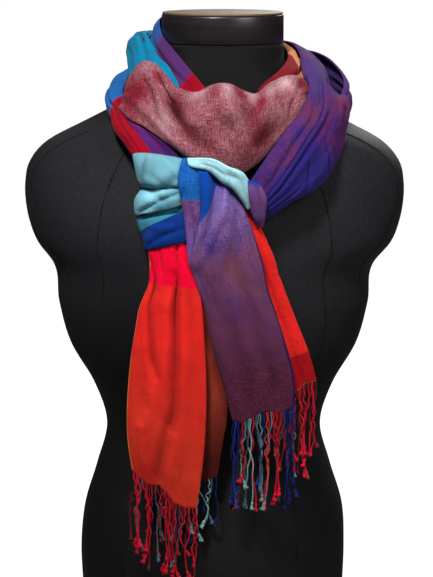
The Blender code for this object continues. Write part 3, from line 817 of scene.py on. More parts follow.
def wall_mesh_data(grid, normals):
    """Points and faces of a closed wall of cloth on a grid, with a rounded rim."""
    along, across = grid.shape[:2]
    count = along * across
    inner = grid.reshape(-1, 3)
    outer = (grid + normals * CLOTH_THICKNESS).reshape(-1, 3)
    index = np.arange(count).reshape(along, across)
    rim = np.concatenate([index[0, :-1], index[:-1, -1], index[-1, :0:-1], index[:0:-1, 0]])
    middles = (inner[rim] + outer[rim]) / 2
    ahead = unit(np.roll(middles, -1, axis=0) - np.roll(middles, 1, axis=0))
    beside = np.cross(ahead, normals.reshape(-1, 3)[rim])
    outside = unit(beside) * RIM_ROUNDING
    centre = inner.mean(axis=0)
    if ((middles - centre) * outside).sum() < 0:
        outside = -outside
    points = np.concatenate([inner, outer, middles + outside])
    corners = (index[:-1, :-1], index[1:, :-1], index[1:, 1:], index[:-1, 1:])
    squares = np.stack(corners, axis=-1).reshape(-1, 4)
    edge = np.cross(grid[1, 0] - grid[0, 0], grid[0, 1] - grid[0, 0])
    turned = np.dot(edge, normals[0, 0]) < 0
    low = squares[:, ::-1] if not turned else squares
    high = squares + count if not turned else squares[:, ::-1] + count
    lip = 2 * count + np.arange(len(rim))
    lip_after = np.roll(lip, -1)
    after = np.roll(rim, -1)
    lower_lip = np.stack([rim, after, lip_after, lip], axis=-1)
    upper_lip = np.stack([lip, lip_after, after + count, rim + count], axis=-1)
    if not turned:
        lower_lip = lower_lip[:, ::-1]
        upper_lip = upper_lip[:, ::-1]
    return points, np.concatenate([low, high, lower_lip, upper_lip]).tolist(), rim


def laid_over(grid, round_neck, tree):
    """The grid moved out, smoothly, as far as it must to lie clear of everything made before it."""
    shape = grid.shape[:2]
    away = outward(grid, round_neck)
    lift = np.zeros(shape)
    for i, j in np.ndindex(shape):
        way = Vector(away[i, j])
        hit = tree.ray_cast(Vector(grid[i, j]) + way * RAY_REACH, -way, 2 * RAY_REACH)
        if hit[0] is not None:
            lift[i, j] = max(0.0, RAY_REACH - hit[3] + LAYER_GAP)
    lift = spread(lift)
    for _ in range(CLEARING_ROUNDS):
        moved = grid + away * lift[:, :, None]
        touching = touching_points(moved, round_neck, tree)
        if not touching.any():
            break
        lift += spread(np.where(touching, CLEARING_STEP, 0.0))
    return grid + away * lift[:, :, None]


def touching_points(grid, round_neck, tree):
    """Which points of a grid belong to a wall that meets what was made before."""
    normals = surface_normals(grid, round_neck)
    points, faces, rim = wall_mesh_data(grid - normals * TOUCH_GAP, normals)
    count = grid.shape[0] * grid.shape[1]
    touching = np.zeros(count, bool)
    for face, _ in BVHTree.FromPolygons(points.tolist(), faces).overlap(tree):
        for k in faces[face]:
            touching[rim[k - 2 * count] if k >= 2 * count else k % count] = True
    return touching.reshape(grid.shape[:2])


class Laid:
    """Everything made so far, as points and faces, so that the next stretch can be laid over it."""

    def __init__(self):
        self.points = []
        self.faces = []

    def add(self, points, faces):
        start = len(self.points)
        self.points.extend(points.tolist())
        self.faces.extend([start + k for k in face] for face in faces)

    def tree(self):
        return BVHTree.FromPolygons(self.points, self.faces)


# Meshes

def new_object(name, data):
    obj = bpy.data.objects.new(name, data)
    bpy.context.scene.collection.objects.link(obj)
    return obj


def new_piece(name, points, faces, material):
    mesh = bpy.data.meshes.new(name)
    mesh.from_pydata([tuple(point) for point in points], [], faces)
    mesh.shade_smooth()
    mesh.materials.append(material)
    return new_object(name, mesh)


def set_uv(mesh, name, places):
    """A UV map from a place for each point of the mesh."""
    layer = mesh.uv_layers.new(name=name)
    corners = np.zeros(len(mesh.loops), np.int32)
    mesh.loops.foreach_get("vertex_index", corners)
    layer.uv.foreach_set("vector", np.asarray(places, np.float32)[corners].ravel())


def set_value(mesh, name, values):
    values_by_point = mesh.attributes.new(name, "FLOAT", "POINT")
    values_by_point.data.foreach_set("value", np.asarray(values, np.float32))


def finish(obj, node):
    """The piece rides on the part's one body, and stands for its solid."""
    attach(obj, "root")
    if node:
        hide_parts(node)
    return obj


# Node helpers

SOCKET_KINDS = {
    float: "NodeSocketFloat",
    int: "NodeSocketInt",
    tuple: "NodeSocketColor",
    type(None): "NodeSocketMaterial",
}


def link(tree, source, target):
    tree.links.new(source, target)


def node(tree, kind, values=(), **settings):
    """A node with its settings and its inputs: a socket is linked, and a value or a colour is set."""
    made = tree.nodes.new(kind)
    for name, value in settings.items():
        setattr(made, name, value)
    for name, value in dict(values).items():
        socket = made.inputs[name]
        if isinstance(value, bpy.types.NodeSocket):
            link(tree, value, socket)
        elif socket.type == "RGBA":
            socket.default_value = (*value, 1.0)
        else:
            socket.default_value = value
    return made


def output(tree, kind, values=(), **settings):
    """The first output of a new node."""
    return node(tree, kind, values, **settings).outputs[0]


def maths(tree, operation, first, second=0.0, clamp=False):
    return output(tree, "ShaderNodeMath", {0: first, 1: second}, operation=operation, use_clamp=clamp)


def added(tree, *values):
    return reduce(lambda one, other: maths(tree, "ADD", one, other), values)


def times(tree, *values):
    return reduce(lambda one, other: maths(tree, "MULTIPLY", one, other), values)


def mixed(tree, share, first, second, blend_type="MIX"):
    values = {0: share, 6: first, 7: second}
    return node(tree, "ShaderNodeMix", values, data_type="RGBA", blend_type=blend_type).outputs[2]


def grey(tree, value):
    return output(tree, "ShaderNodeCombineColor", {"Red": value, "Green": value, "Blue": value})


def noise_marks(tree, place, scale=1.0, detail=2.0):
    """Uneven marks between 0 and 1."""
    values = {"Vector": place, "Scale": scale, "Detail": detail}
    return node(tree, "ShaderNodeTexNoise", values).outputs["Fac"]


def centred(tree, value):
    return maths(tree, "SUBTRACT", value, 0.5)


def object_place(tree):
    return node(tree, "ShaderNodeTexCoord").outputs["Object"]


def uv_parts(tree, name):
    """The two parts of a place on a UV map: across, and along or up."""
    place = output(tree, "ShaderNodeUVMap", uv_map=name)
    return node(tree, "ShaderNodeSeparateXYZ", {0: place}).outputs[:2]


def attribute(tree, name, part="Fac"):
    return node(tree, "ShaderNodeAttribute", attribute_name=name).outputs[part]


def add_inputs(tree, inputs):
    """Named inputs of a node group and their values, where a tuple is a colour and None a material."""
    for name, value in inputs.items():
        kind = SOCKET_KINDS[type(value)]
        socket = tree.interface.new_socket(name=name, in_out="INPUT", socket_type=kind)
        if value is not None:
            socket.default_value = (*value, 1.0) if isinstance(value, tuple) else value


def new_group(name, inputs, outputs):
    """A shader node group with its named inputs, and its outputs by name and kind."""
    group = bpy.data.node_groups.new(name, "ShaderNodeTree")
    add_inputs(group, inputs)
    for socket_name, kind in outputs.items():
        group.interface.new_socket(name=socket_name, in_out="OUTPUT", socket_type=SOCKET_KINDS[kind])
    return group, group.nodes.new("NodeGroupInput").outputs, group.nodes.new("NodeGroupOutput").inputs


def placed_group(tree, group, values):
    return node(tree, "ShaderNodeGroup", values, node_tree=group).outputs


def new_material(name, roughness, sheen=0.0, sheen_tint=WHITE, coat=0.0, specular=0.5):
    material = bpy.data.materials.new(name)
    material.use_nodes = True
    shader = material.node_tree.nodes["Principled BSDF"]
    shader.inputs["Roughness"].default_value = roughness
    shader.inputs["Sheen Weight"].default_value = sheen
    shader.inputs["Sheen Roughness"].default_value = 0.45
    shader.inputs["Sheen Tint"].default_value = (*sheen_tint, 1.0)
    shader.inputs["Coat Weight"].default_value = coat
    shader.inputs["Specular IOR Level"].default_value = specular
    return material, material.node_tree, shader


def bumped(tree, shader, height, distance, strength):
    bump = node(tree, "ShaderNodeBump", {"Height": height, "Distance": distance, "Strength": strength})
    link(tree, bump.outputs["Normal"], shader.inputs["Normal"])


# Shared surface effects

# The weave's unevenness: marks a metre across the cloth and along it, and a seed of its own.
WARP_STREAKS = (1050.0, 130.0, 1.0)
WEFT_STREAKS = (110.0, 1050.0, 5.0)
CLOUDS = (48.0, 40.0, 9.0)
SPECKLE = (980.0, 980.0, 13.0)
MARK_DETAIL = 3.0
# How much the speckle and the threads' crossings change which yarn shows, and how much light the marks take.
SPECKLE_SHARE = 2.2
CROSSING_SHARE = 0.22
MARK_DEPTH = 0.75
# A thread's pitch in metres, and how high its ribs and its streaks stand.
THREAD_PITCH = 0.0007
RIB_HEIGHT = 0.35
STREAK_HEIGHT = 1.6
WEAVE_RELIEF = 0.0003
# A block's border is a little ragged: marks a metre across it, and the share of the length they move it by.
RAGGED_MARKS = 700.0
RAGGED_REACH = 0.006


def weave_group():
    """Shot cloth: warp and weft of their own colours, with uneven yarn, on a UV map in metres."""
    inputs = {"Warp": BLACK, "Weft": BLACK, "Balance": 0.5, "Streaks": 0.6, "Clouds": 0.3, "Speckle": 0.5}
    inputs.update({"Thread": THREAD_PITCH, "Across": 0.0, "Along": 0.0})
    group, given, out = new_group("shot_weave", inputs, {"Color": tuple, "Height": float})

    def marks(across_scale, along_scale, seed):
        x = times(group, given["Across"], across_scale)
        y = times(group, given["Along"], along_scale)
        place = output(group, "ShaderNodeCombineXYZ", {"X": x, "Y": y, "Z": seed})
        return centred(group, noise_marks(group, place, detail=MARK_DETAIL))

    pair = maths(group, "SUBTRACT", marks(*WARP_STREAKS), marks(*WEFT_STREAKS))
    speckle = times(group, marks(*SPECKLE), given["Speckle"])
    turns = maths(group, "DIVIDE", 2 * math.pi, given["Thread"])
    waves = [maths(group, "SINE", times(group, given[way], turns)) for way in ("Across", "Along")]
    share = added(
        group,
        times(group, pair, given["Streaks"]),
        times(group, marks(*CLOUDS), given["Clouds"]),
        times(group, speckle, SPECKLE_SHARE),
        times(group, *waves, CROSSING_SHARE),
    )
    share = maths(group, "ADD", share, given["Balance"], clamp=True)
    colours = mixed(group, share, given["Warp"], given["Weft"])
    shade = grey(group, added(group, times(group, added(group, pair, speckle), MARK_DEPTH), 1.0))
    link(group, mixed(group, MARK_DEPTH, colours, shade, "MULTIPLY"), out["Color"])
    ribs = added(group, *[maths(group, "ABSOLUTE", wave) for wave in waves])
    height = added(group, times(group, ribs, RIB_HEIGHT), times(group, pair, STREAK_HEIGHT))
    link(group, height, out["Height"])
    return group


def yarn_change_group():
    """The yarns before a block's border and after it. The border may lean and bow across the cloth."""
    inputs = {"Along": 0.0, "Across": 0.5, "Start": 0.5, "Change": 0.01, "Lean": 0.0, "Bow": 0.0}
    inputs.update({name: BLACK for name in ("Warp", "Weft", "Next Warp", "Next Weft")})
    group, given, out = new_group("yarn_change", inputs, {"Warp": tuple, "Weft": tuple})
    side = centred(group, given["Across"])
    lean = times(group, side, given["Lean"])
    bow = times(group, side, side, 4.0, given["Bow"])
    edge = added(group, given["Start"], lean, bow)
    past = maths(group, "DIVIDE", maths(group, "SUBTRACT", given["Along"], edge), given["Change"])
    share = maths(group, "ADD", past, 0.5, clamp=True)
    for yarn in ("Warp", "Weft"):
        link(group, mixed(group, share, given[yarn], given["Next " + yarn]), out[yarn])
    return group


def cloth_material(name, weave, yarn_change):
    """Woven cloth for a stretch, in its own yarn blocks and with its own evenness."""
    streaks, clouds, speckle, balance, selvedge = LOOKS[name]
    tint = SHEEN_TINTS.get(name, WHITE)
    material, tree, shader = new_material(name + "_weave", 0.85, sheen=0.04, sheen_tint=tint, specular=0.07)
    share_across, share_along = uv_parts(tree, "shares")
    across, along = uv_parts(tree, "metres")
    ragged = output(tree, "ShaderNodeCombineXYZ", {"X": times(tree, across, RAGGED_MARKS)})
    shift = times(tree, centred(tree, noise_marks(tree, ragged)), RAGGED_REACH)
    place = added(tree, share_along, shift)
    (warp, weft), *changes = BLOCKS[name]
    for start, change, lean, bow, next_warp, next_weft in changes:
        values = {"Along": place, "Across": share_across, "Start": start, "Change": change}
        values.update({"Lean": lean, "Bow": bow, "Warp": warp, "Weft": weft})
        values.update({"Next Warp": next_warp, "Next Weft": next_weft})
        warp, weft = placed_group(tree, yarn_change, values)
    if selvedge:
        side, colour, share = selvedge
        distance = share_across if side == 0 else maths(tree, "SUBTRACT", 1.0, share_across)
        inside = maths(tree, "LESS_THAN", distance, share)
        warp = mixed(tree, inside, warp, colour)
        weft = mixed(tree, inside, weft, colour)
    # The weft's share, moved by patches of painted sheen and the yarn's own clouding, and by painted shade in
    # creases.
    values = {"Warp": warp, "Weft": weft, "Balance": added(tree, attribute(tree, "yarn_sheen_and_shade"), balance)}
    values.update({"Streaks": streaks, "Clouds": clouds, "Speckle": speckle})
    values.update({"Across": across, "Along": along})
    colour, height = placed_group(tree, weave, values)
    # Painted shade in creases and painted highlights on ridges and spots, multiplied into the cloth's colour.
    shade = grey(tree, attribute(tree, "painted_shade_and_light"))
    link(tree, mixed(tree, 1.0, colour, shade, "MULTIPLY"), shader.inputs["Base Color"])
    bumped(tree, shader, height, WEAVE_RELIEF, strength=0.8)
    return material


# The cap's smears, in marks a metre each way, how far they change the roughness, and how high they stand.
SMEAR_MARKS = (14.0, 14.0, 260.0)
SMEAR_ROUGHNESS = 0.08
SMEAR_RELIEF = 0.00004
# The fringe yarn's fibres, in marks a metre, and the tint of its sheen.
FIBRE_MARKS = 900.0
YARN_TINT = (1.0, 0.95, 0.95)
# The jersey: a stitch's width and height in metres, how far the rows lean, and its lint and swells.
JERSEY_COLUMN = 0.0011
JERSEY_ROW = 0.0009
JERSEY_LEAN = 1.6
LINT_MARKS = 640.0
LINT_SHARE = 1.7
SWELL_MARKS = 9.0
SWELL_SHARE = 0.6
JERSEY_PALENESS = 0.25
JERSEY_RELIEF = 0.00025


def jersey_material():
    """Fine black jersey: columns of small stitches, with a little lint, and a painted pool of light on the
    chest.
    """
    material, tree, shader = new_material("black_jersey", 0.6, specular=0.22)
    around, up = uv_parts(tree, "metres")
    ridge = maths(tree, "ABSOLUTE", maths(tree, "SINE", times(tree, around, 2 * math.pi / JERSEY_COLUMN)))
    row = added(tree, times(tree, up, 2 * math.pi / JERSEY_ROW), times(tree, ridge, JERSEY_LEAN))
    place = object_place(tree)
    lint = noise_marks(tree, place, LINT_MARKS, detail=4.0)
    height = node(tree, "ShaderNodeSeparateXYZ", {0: place}).outputs[2]
    # Painted light and shade: the jersey is paler on the chest and deep black low down and under the cap.
    painted_light_shares = []
    for dark, light in JERSEY_PAINTED_LIGHT:
        limits = {"Value": height, "From Min": dark, "From Max": light}
        fade = node(tree, "ShaderNodeMapRange", limits, interpolation_type="SMOOTHSTEP")
        painted_light_shares.append(fade.outputs["Result"])
    specks = times(tree, centred(tree, lint), LINT_SHARE)
    swells = times(tree, noise_marks(tree, place, SWELL_MARKS), SWELL_SHARE)
    share = maths(tree, "ADD", specks, added(tree, swells, JERSEY_PALENESS), clamp=True)
    colour = mixed(tree, times(tree, share, *painted_light_shares), linear(4, 3, 3), linear(41, 39, 44))
    link(tree, colour, shader.inputs["Base Color"])
    relief = added(tree, ridge, times(tree, maths(tree, "SINE", row), 0.5), times(tree, lint, 0.8))
    bumped(tree, shader, relief, JERSEY_RELIEF, strength=0.7)
    return material


def gloss_material(name, base, lighter, roughness, coat):
    """A hard, polished surface with faint smears and fine scratches round it."""
    material, tree, shader = new_material(name, roughness, coat=coat)
    stretched = output(tree, "ShaderNodeMapping", {"Vector": object_place(tree), "Scale": SMEAR_MARKS})
    smear = noise_marks(tree, stretched, detail=4.0)
    link(tree, mixed(tree, smear, base, lighter), shader.inputs["Base Color"])
    rough = added(tree, times(tree, smear, 2 * SMEAR_ROUGHNESS), roughness - SMEAR_ROUGHNESS)
    link(tree, rough, shader.inputs["Roughness"])
    bumped(tree, shader, smear, SMEAR_RELIEF, strength=0.5)
    return material


def yarn_material():
    """Twisted yarn, whose colour comes from the strand it is in."""
    look = {"sheen": 0.08, "sheen_tint": YARN_TINT, "specular": 0.12}
    material, tree, shader = new_material("fringe_yarn", 0.85, **look)
    fibre = noise_marks(tree, object_place(tree), FIBRE_MARKS, detail=3.0)
    tone = grey(tree, added(tree, times(tree, fibre, 0.9), 0.5))
    colour = mixed(tree, 0.7, attribute(tree, "yarn_colour", "Color"), tone, "MULTIPLY")
    link(tree, colour, shader.inputs["Base Color"])
    bumped(tree, shader, fibre, WEAVE_RELIEF, strength=0.8)
    return material


# The dress form

def form_ring(row, shrink=0.0):
    """A level ring of the form, an oval whose front and back halves have their own depths."""
    height, middle, half, front, back = row
    angle = 2 * math.pi * np.arange(FORM_SIDES) / FORM_SIDES
    depth = np.where(np.sin(angle) < 0, front, back)
    x = middle * MM + (half * MM - shrink) * np.cos(angle)
    y = (depth * MM - shrink) * np.sin(angle)
    return np.stack([x, y, np.full(FORM_SIDES, height * MM)], axis=-1)


def closed_rings(rings):
    """Points and faces of a closed body through level rings, capped at both ends with a fan."""
    sides = len(rings[0])
    middles = [rings[end].mean(axis=0, keepdims=True) for end in (0, -1)]
    points = np.concatenate([*rings, *middles])
    faces = []
    for low in range(0, (len(rings) - 1) * sides, sides):
        for k in range(sides):
            after = (k + 1) % sides
            faces.append((low + k, low + after, low + sides + after, low + sides + k))
    top = (len(rings) - 1) * sides
    for k in range(sides):
        after = (k + 1) % sides
        faces.append((after, k, len(points) - 2))
        faces.append((top + k, top + after, len(points) - 1))
    return points, faces


def form_body(laid, material):
    sections = np.array(FORM_SECTIONS, float)
    top = sections[-1, 0]
    heights = np.append(np.arange(0, top, FORM_RING_STEP / MM), top)
    points, faces = closed_rings([form_ring(row) for row in rows_at(sections, sections[:, 0], heights)])
    laid.add(points, faces)
    obj = new_piece("form_body", points, faces, material)
    angle = np.arctan2(points[:, 0], -points[:, 1])
    set_uv(obj.data, "metres", np.stack([angle * FORM_RADIUS, points[:, 2]], axis=-1))
    finish(obj, "form_torso")


# The cap's two tones, and those of the disc on it.
CAP_COLOURS = (
    (linear(16, 13, 14), linear(38, 30, 31)),
    (linear(70, 54, 36), linear(104, 82, 56)),
)


def cap_rings(base, top, shrink, edge):
    """Rings of a drum with a small slope at its foot and a rounded upper edge."""
    slope = edge * CAP_SLOPE
    levels = [(base, slope), (base + slope, 0.0), (top - edge, 0.0)]
    for degrees in (30, 60, 90):
        turn = math.radians(degrees)
        levels.append((top - edge * (1 - math.sin(turn)), edge * (1 - math.cos(turn))))
    row = FORM_SECTIONS[-1]
    return [form_ring((height / MM, *row[1:]), shrink + inset) for height, inset in levels]


def neck_cap(laid):
    """A polished drum with a thin lighter disc on top."""
    dark, pale = CAP_COLOURS
    polished = gloss_material("polished_black", *dark, roughness=0.36, coat=0.10)
    matt = gloss_material("pale_disc", *pale, roughness=0.6, coat=0.03)
    top = CAP_TOP - CAP_DISC
    pieces = (
        ("neck_cap_drum", CAP_BASE, top, 0.0, CAP_EDGE, polished, "neck_cap"),
        ("neck_cap_disc", top + DISC_GAP, CAP_TOP, DISC_INSET, DISC_EDGE, matt, None),
    )
    for name, low, high, shrink, edge, material, stands_for in pieces:
        points, faces = closed_rings(cap_rings(low, high, shrink, edge))
        laid.add(points, faces)
        finish(new_piece(name, points, faces, material), stands_for)


# The shawl's cloth

def flat_places(grid):
    """Where each point lies on the flat cloth: metres from the middle thread, and metres from its start."""
    across = np.concatenate([np.zeros((len(grid), 1)), np.linalg.norm(np.diff(grid, axis=1), axis=2)], axis=1)
    across = np.cumsum(across, axis=1)
    middle = grid[:, grid.shape[1] // 2]
    along = np.concatenate([[0.0], np.cumsum(np.linalg.norm(np.diff(middle, axis=0), axis=1))])
    shares = across / across[:, -1:]
    return shares, across - across[:, -1:] / 2, along


def spots(table, along, across, shares):
    """How much a table of round, soft spots changes each point of a stretch."""
    widths = np.ptp(across, axis=1)[:, None]
    found = np.zeros(shares.shape)
    for at_along, at_across, radius, amount in table:
        off = (along[:, None] - at_along * along[-1]) ** 2 + (shares - at_across) ** 2 * widths**2
        found += amount * np.exp(-off / (radius * MM) ** 2)
    return found


def cloth_stretch(name, rows, round_neck, laid, material):
    """One stretch of the shawl, laid over all that was made before it."""
    grid, sunk = lofted(name, rows, round_neck)
    grid = laid_over(grid, round_neck, laid.tree())
    normals = surface_normals(grid, round_neck)
    points, faces, rim = wall_mesh_data(grid, normals)
    laid.add(points, faces)
    obj = new_piece(name + "_cloth", points, faces, material)
    shares, across, along = flat_places(grid)
    # Painted sheen and shade: the weft's share and the tone, from the spots and from how far each fold sinks.
    yarn_sheen_and_shade = spots(SHEEN_AND_YARN_PATCHES.get(name, ()), along, across, shares) - sunk * FOLD_SHEEN_AND_SHADE
    tone = spots(PAINTED_SHADE_AND_HIGHLIGHTS.get(name, ()), along, across, shares) + 1 - sunk * FOLD_PAINTED_SHADE
    lengths = np.broadcast_to(along[:, None], shares.shape)

    def for_all(values):
        flat = values.reshape(-1, *values.shape[2:])
        return np.concatenate([flat, flat, flat[rim]])

    set_uv(obj.data, "shares", for_all(np.stack([shares, lengths / along[-1]], axis=-1)))
    set_uv(obj.data, "metres", for_all(np.stack([across, lengths], axis=-1)))
    set_value(obj.data, "yarn_sheen_and_shade", for_all(yarn_sheen_and_shade))
    set_value(obj.data, "painted_shade_and_light", for_all(np.clip(tone, *PAINTED_SHADE_LIMITS)))
    return obj, grid, normals


# From the inside out: name, table, whether it goes round the neck, material slot, flat width and length, how
# it is held, and on what.
STRETCHES = (
    ("wrap_inner", WRAP_INNER, True, "cloth_violet", (0.040, 0.42), "draped", "form_torso"),
    ("wrap_left", WRAP_LEFT, True, "cloth_cyan", (0.055, 0.24), "draped", "form_torso wrap_inner"),
    ("under_layer_left", UNDER_LAYER_LEFT, False, "cloth_plum", (0.045, 0.060), "draped", "form_torso"),
    ("tail_left_back", TAIL_LEFT_BACK, False, "cloth_rust", (0.060, 0.24), "hung", "knot_wrap_lower"),
    ("tail_left_front", TAIL_LEFT_FRONT, False, "cloth_orange_red", (0.065, 0.26), "hung", "knot_wrap_lower"),
    ("tail_right_edge", TAIL_RIGHT_EDGE, False, "cloth_orange_red", (0.032, 0.21), "hung", "knot_bridge"),
    ("cowl_front", COWL_FRONT, True, "cloth_maroon", (0.080, 0.22), "draped", "wrap_left wrap_inner"),
    ("wrap_right_inner", WRAP_RIGHT_INNER, True, "cloth_violet", (0.046, 0.38), "draped", "form_torso"),
    ("wrap_outer", WRAP_OUTER, True, "cloth_blue", (0.060, 0.60), "draped", "form_torso"),
    ("strand_right_outer", STRAND_RIGHT_OUTER, True, "cloth_violet", (0.055, 0.17), "draped", "wrap_outer"),
    ("knot_wrap_upper", KNOT_WRAP_UPPER, False, "cloth_teal", (0.075, 0.060), "folded", "tail_left_front"),
    ("knot_wrap_lower", KNOT_WRAP_LOWER, False, "cloth_blue", (0.065, 0.040), "folded", "tail_left_front"),
    ("knot_strand", KNOT_STRAND, False, "cloth_blue", (0.026, 0.105), "folded", "knot_wrap_upper"),
    ("tail_right_front", TAIL_RIGHT_FRONT, False, "cloth_plum", (0.070, 0.24), "hung", "knot_bridge"),
    ("knot_bridge", KNOT_BRIDGE, False, "cloth_teal", (0.018, 0.090), "folded", "tail_right_front"),
    ("knot_end", KNOT_END, False, "cloth_violet", (0.016, 0.045), "folded", "knot_bridge"),
)


# Geometry Nodes

# A cord's two plies lie this share of their radius from its middle. Its knot varies in size and is a little
# long, and its tuft is a cone whose points are moved at random by up to these shares of its size.
PLY_OFFSET = 0.85
KNOT_SIZES = (0.8, 1.25)
KNOT_HEIGHT = 1.35
TUFT_CONE = {"Vertices": 9, "Side Segments": 4, "Radius Top": 1.5, "Radius Bottom": 0.45, "Depth": 1.0}
TUFT_FRAY = (0.5, 0.5, 0.22)


def new_tree(name, inputs):
    """A geometry node tree that takes a geometry and named inputs, and gives a geometry."""
    tree = bpy.data.node_groups.new(name, "GeometryNodeTree")
    tree.interface.new_socket(name="Geometry", in_out="INPUT", socket_type="NodeSocketGeometry")
    add_inputs(tree, inputs)
    tree.interface.new_socket(name="Geometry", in_out="OUTPUT", socket_type="NodeSocketGeometry")
    return tree, tree.nodes.new("NodeGroupInput").outputs, tree.nodes.new("NodeGroupOutput").inputs


def even_points(tree, given):
    """Points at even steps along every line of the mesh, and the turn that sets a shape along the line."""
    lines = output(tree, "GeometryNodeMeshToCurve", {"Mesh": given["Geometry"]})
    even = output(tree, "GeometryNodeResampleCurve", {"Curve": lines, "Length": given["Step"]}, mode="LENGTH")
    tangent = output(tree, "GeometryNodeInputTangent")
    return even, output(tree, "FunctionNodeAlignRotationToVector", {"Vector": tangent}, axis="Z")


def joined(tree, parts):
    made = tree.nodes.new("GeometryNodeJoinGeometry")
    for part in parts:
        link(tree, part, made.inputs[0])
    return made.outputs[0]


def set_on_points(tree, points, along, shape, size, chosen=True):
    """A shape set on points along their line, with its size in three ways."""
    scale = output(tree, "ShaderNodeCombineXYZ", dict(zip("XYZ", size)))
    values = {"Points": points, "Selection": chosen, "Instance": shape, "Rotation": along, "Scale": scale}
    return output(tree, "GeometryNodeInstanceOnPoints", values)


def ball(tree):
    return output(tree, "GeometryNodeMeshIcoSphere", {"Radius": 1.0, "Subdivisions": 2})


def finish_tree(tree, geometry, given, out):
    """The tree's end: real and smooth geometry, with its material."""
    real = output(tree, "GeometryNodeRealizeInstances", {"Geometry": geometry})
    smooth = output(tree, "GeometryNodeSetShadeSmooth", {"Geometry": real})
    values = {"Geometry": smooth, "Material": given["Material"]}
    link(tree, output(tree, "GeometryNodeSetMaterial", values), out["Geometry"])
    return tree


def twisted_cord_tree():
    """Every line of the mesh becomes a cord of two plies, with a knot and a tuft at its end if wanted."""
    inputs = {"Ply radius": 0.0005, "Twist length": 0.006, "Step": 0.0012, "Ply sides": 5}
    inputs.update({"Knot radius": 0.0, "Tuft length": 0.0, "Material": None})
    tree, given, out = new_tree("twisted_cords", inputs)
    points, along = even_points(tree, given)
    run = node(tree, "GeometryNodeSplineParameter").outputs["Length"]
    tilt = times(tree, maths(tree, "DIVIDE", run, given["Twist length"]), 2 * math.pi)
    tilted = output(tree, "GeometryNodeSetCurveTilt", {"Curve": points, "Tilt": tilt})
    size = output(tree, "GeometryNodeInputNamedAttribute", {"Name": "cord_size"}, data_type="FLOAT")
    sized = output(tree, "GeometryNodeSetCurveRadius", {"Curve": tilted, "Radius": size})
    round_ply = {"Resolution": given["Ply sides"], "Radius": given["Ply radius"]}
    circle = output(tree, "GeometryNodeCurvePrimitiveCircle", round_ply)
    plies = []
    for side in (-PLY_OFFSET, PLY_OFFSET):
        place = output(tree, "ShaderNodeCombineXYZ", {"X": times(tree, given["Ply radius"], side)})
        plies.append(output(tree, "GeometryNodeTransform", {"Geometry": circle, "Translation": place}))
    swept = {"Curve": sized, "Profile Curve": joined(tree, plies), "Fill Caps": True}
    cords = output(tree, "GeometryNodeCurveToMesh", swept)
    end = output(tree, "GeometryNodeCurveEndpointSelection", {"Start Size": 0, "End Size": 1})
    sizes = {2: KNOT_SIZES[0], 3: KNOT_SIZES[1], "Seed": 4}
    knot_size = node(tree, "FunctionNodeRandomValue", sizes, data_type="FLOAT").outputs[1]
    radius = times(tree, knot_size, given["Knot radius"])
    cone = output(tree, "GeometryNodeMeshCone", TUFT_CONE)
    fray = {0: tuple(-reach for reach in TUFT_FRAY), 1: TUFT_FRAY}
    offset = output(tree, "FunctionNodeRandomValue", fray, data_type="FLOAT_VECTOR")
    tuft = output(tree, "GeometryNodeSetPosition", {"Geometry": cone, "Offset": offset})
    parts = [cords]
    for shape, height in ((ball(tree), times(tree, radius, KNOT_HEIGHT)), (tuft, given["Tuft length"])):
        parts.append(set_on_points(tree, points, along, shape, (radius, radius, height), end))
    return finish_tree(tree, joined(tree, parts), given, out)


def stitch_tree():
    """A short capsule of thread at even steps along every line of the mesh."""
    inputs = {"Step": 0.003, "Stitch length": 0.0018, "Thread radius": 0.0002, "Material": None}
    tree, given, out = new_tree("stitches", inputs)
    points, along = even_points(tree, given)
    radius = given["Thread radius"]
    size = (radius, radius, times(tree, given["Stitch length"], 0.5))
    return finish_tree(tree, set_on_points(tree, points, along, ball(tree), size), given, out)


def grown(name, tree, lines, colours, values, sizes=None):
    """A plain mesh grown by a tree on lines of points, whose colours and sizes go with them."""
    points = [tuple(point) for line in lines for point in line]
    edges = []
    start = 0
    for line in lines:
        edges.extend((start + k, start + k + 1) for k in range(len(line) - 1))
        start += len(line)
    mesh = bpy.data.meshes.new(name + "_lines")
    mesh.from_pydata(points, edges, [])
    shades = [(*colour, 1.0) for line, colour in zip(lines, colours) for _ in line]
    tints = mesh.attributes.new("yarn_colour", "FLOAT_COLOR", "POINT")
    tints.data.foreach_set("color", np.array(shades, np.float32).ravel())
    set_value(mesh, "cord_size", np.ones(len(points)) if sizes is None else np.concatenate(sizes))
    guide = new_object(name + "_lines", mesh)
    modifier = guide.modifiers.new("grow", "NODES")
    modifier.node_group = tree
    sockets = {item.name: item.identifier for item in tree.interface.items_tree if item.in_out == "INPUT"}
    for key, value in values.items():
        modifier[sockets[key]] = value
    bpy.context.view_layer.update()
    finished = guide.evaluated_get(bpy.context.evaluated_depsgraph_get())
    result = bpy.data.meshes.new_from_object(finished)
    bpy.data.objects.remove(guide)
    result.name = name
    return new_object(name, result)


# The fringe

# The fringe's yarns: a letter, its colour, and how thick its cords are beside the others.
FRINGE_YARNS = {
    "c": (linear(196, 2, 40), 1.15),
    "d": (linear(118, 4, 28), 1.0),
    "t": (linear(120, 154, 156), 0.62),
    "s": (linear(56, 88, 94), 0.7),
    "n": (linear(8, 18, 88), 1.25),
    "b": (linear(10, 48, 140), 1.1),
    "o": (linear(200, 60, 40), 0.85),
    "g": (linear(160, 118, 78), 0.75),
}

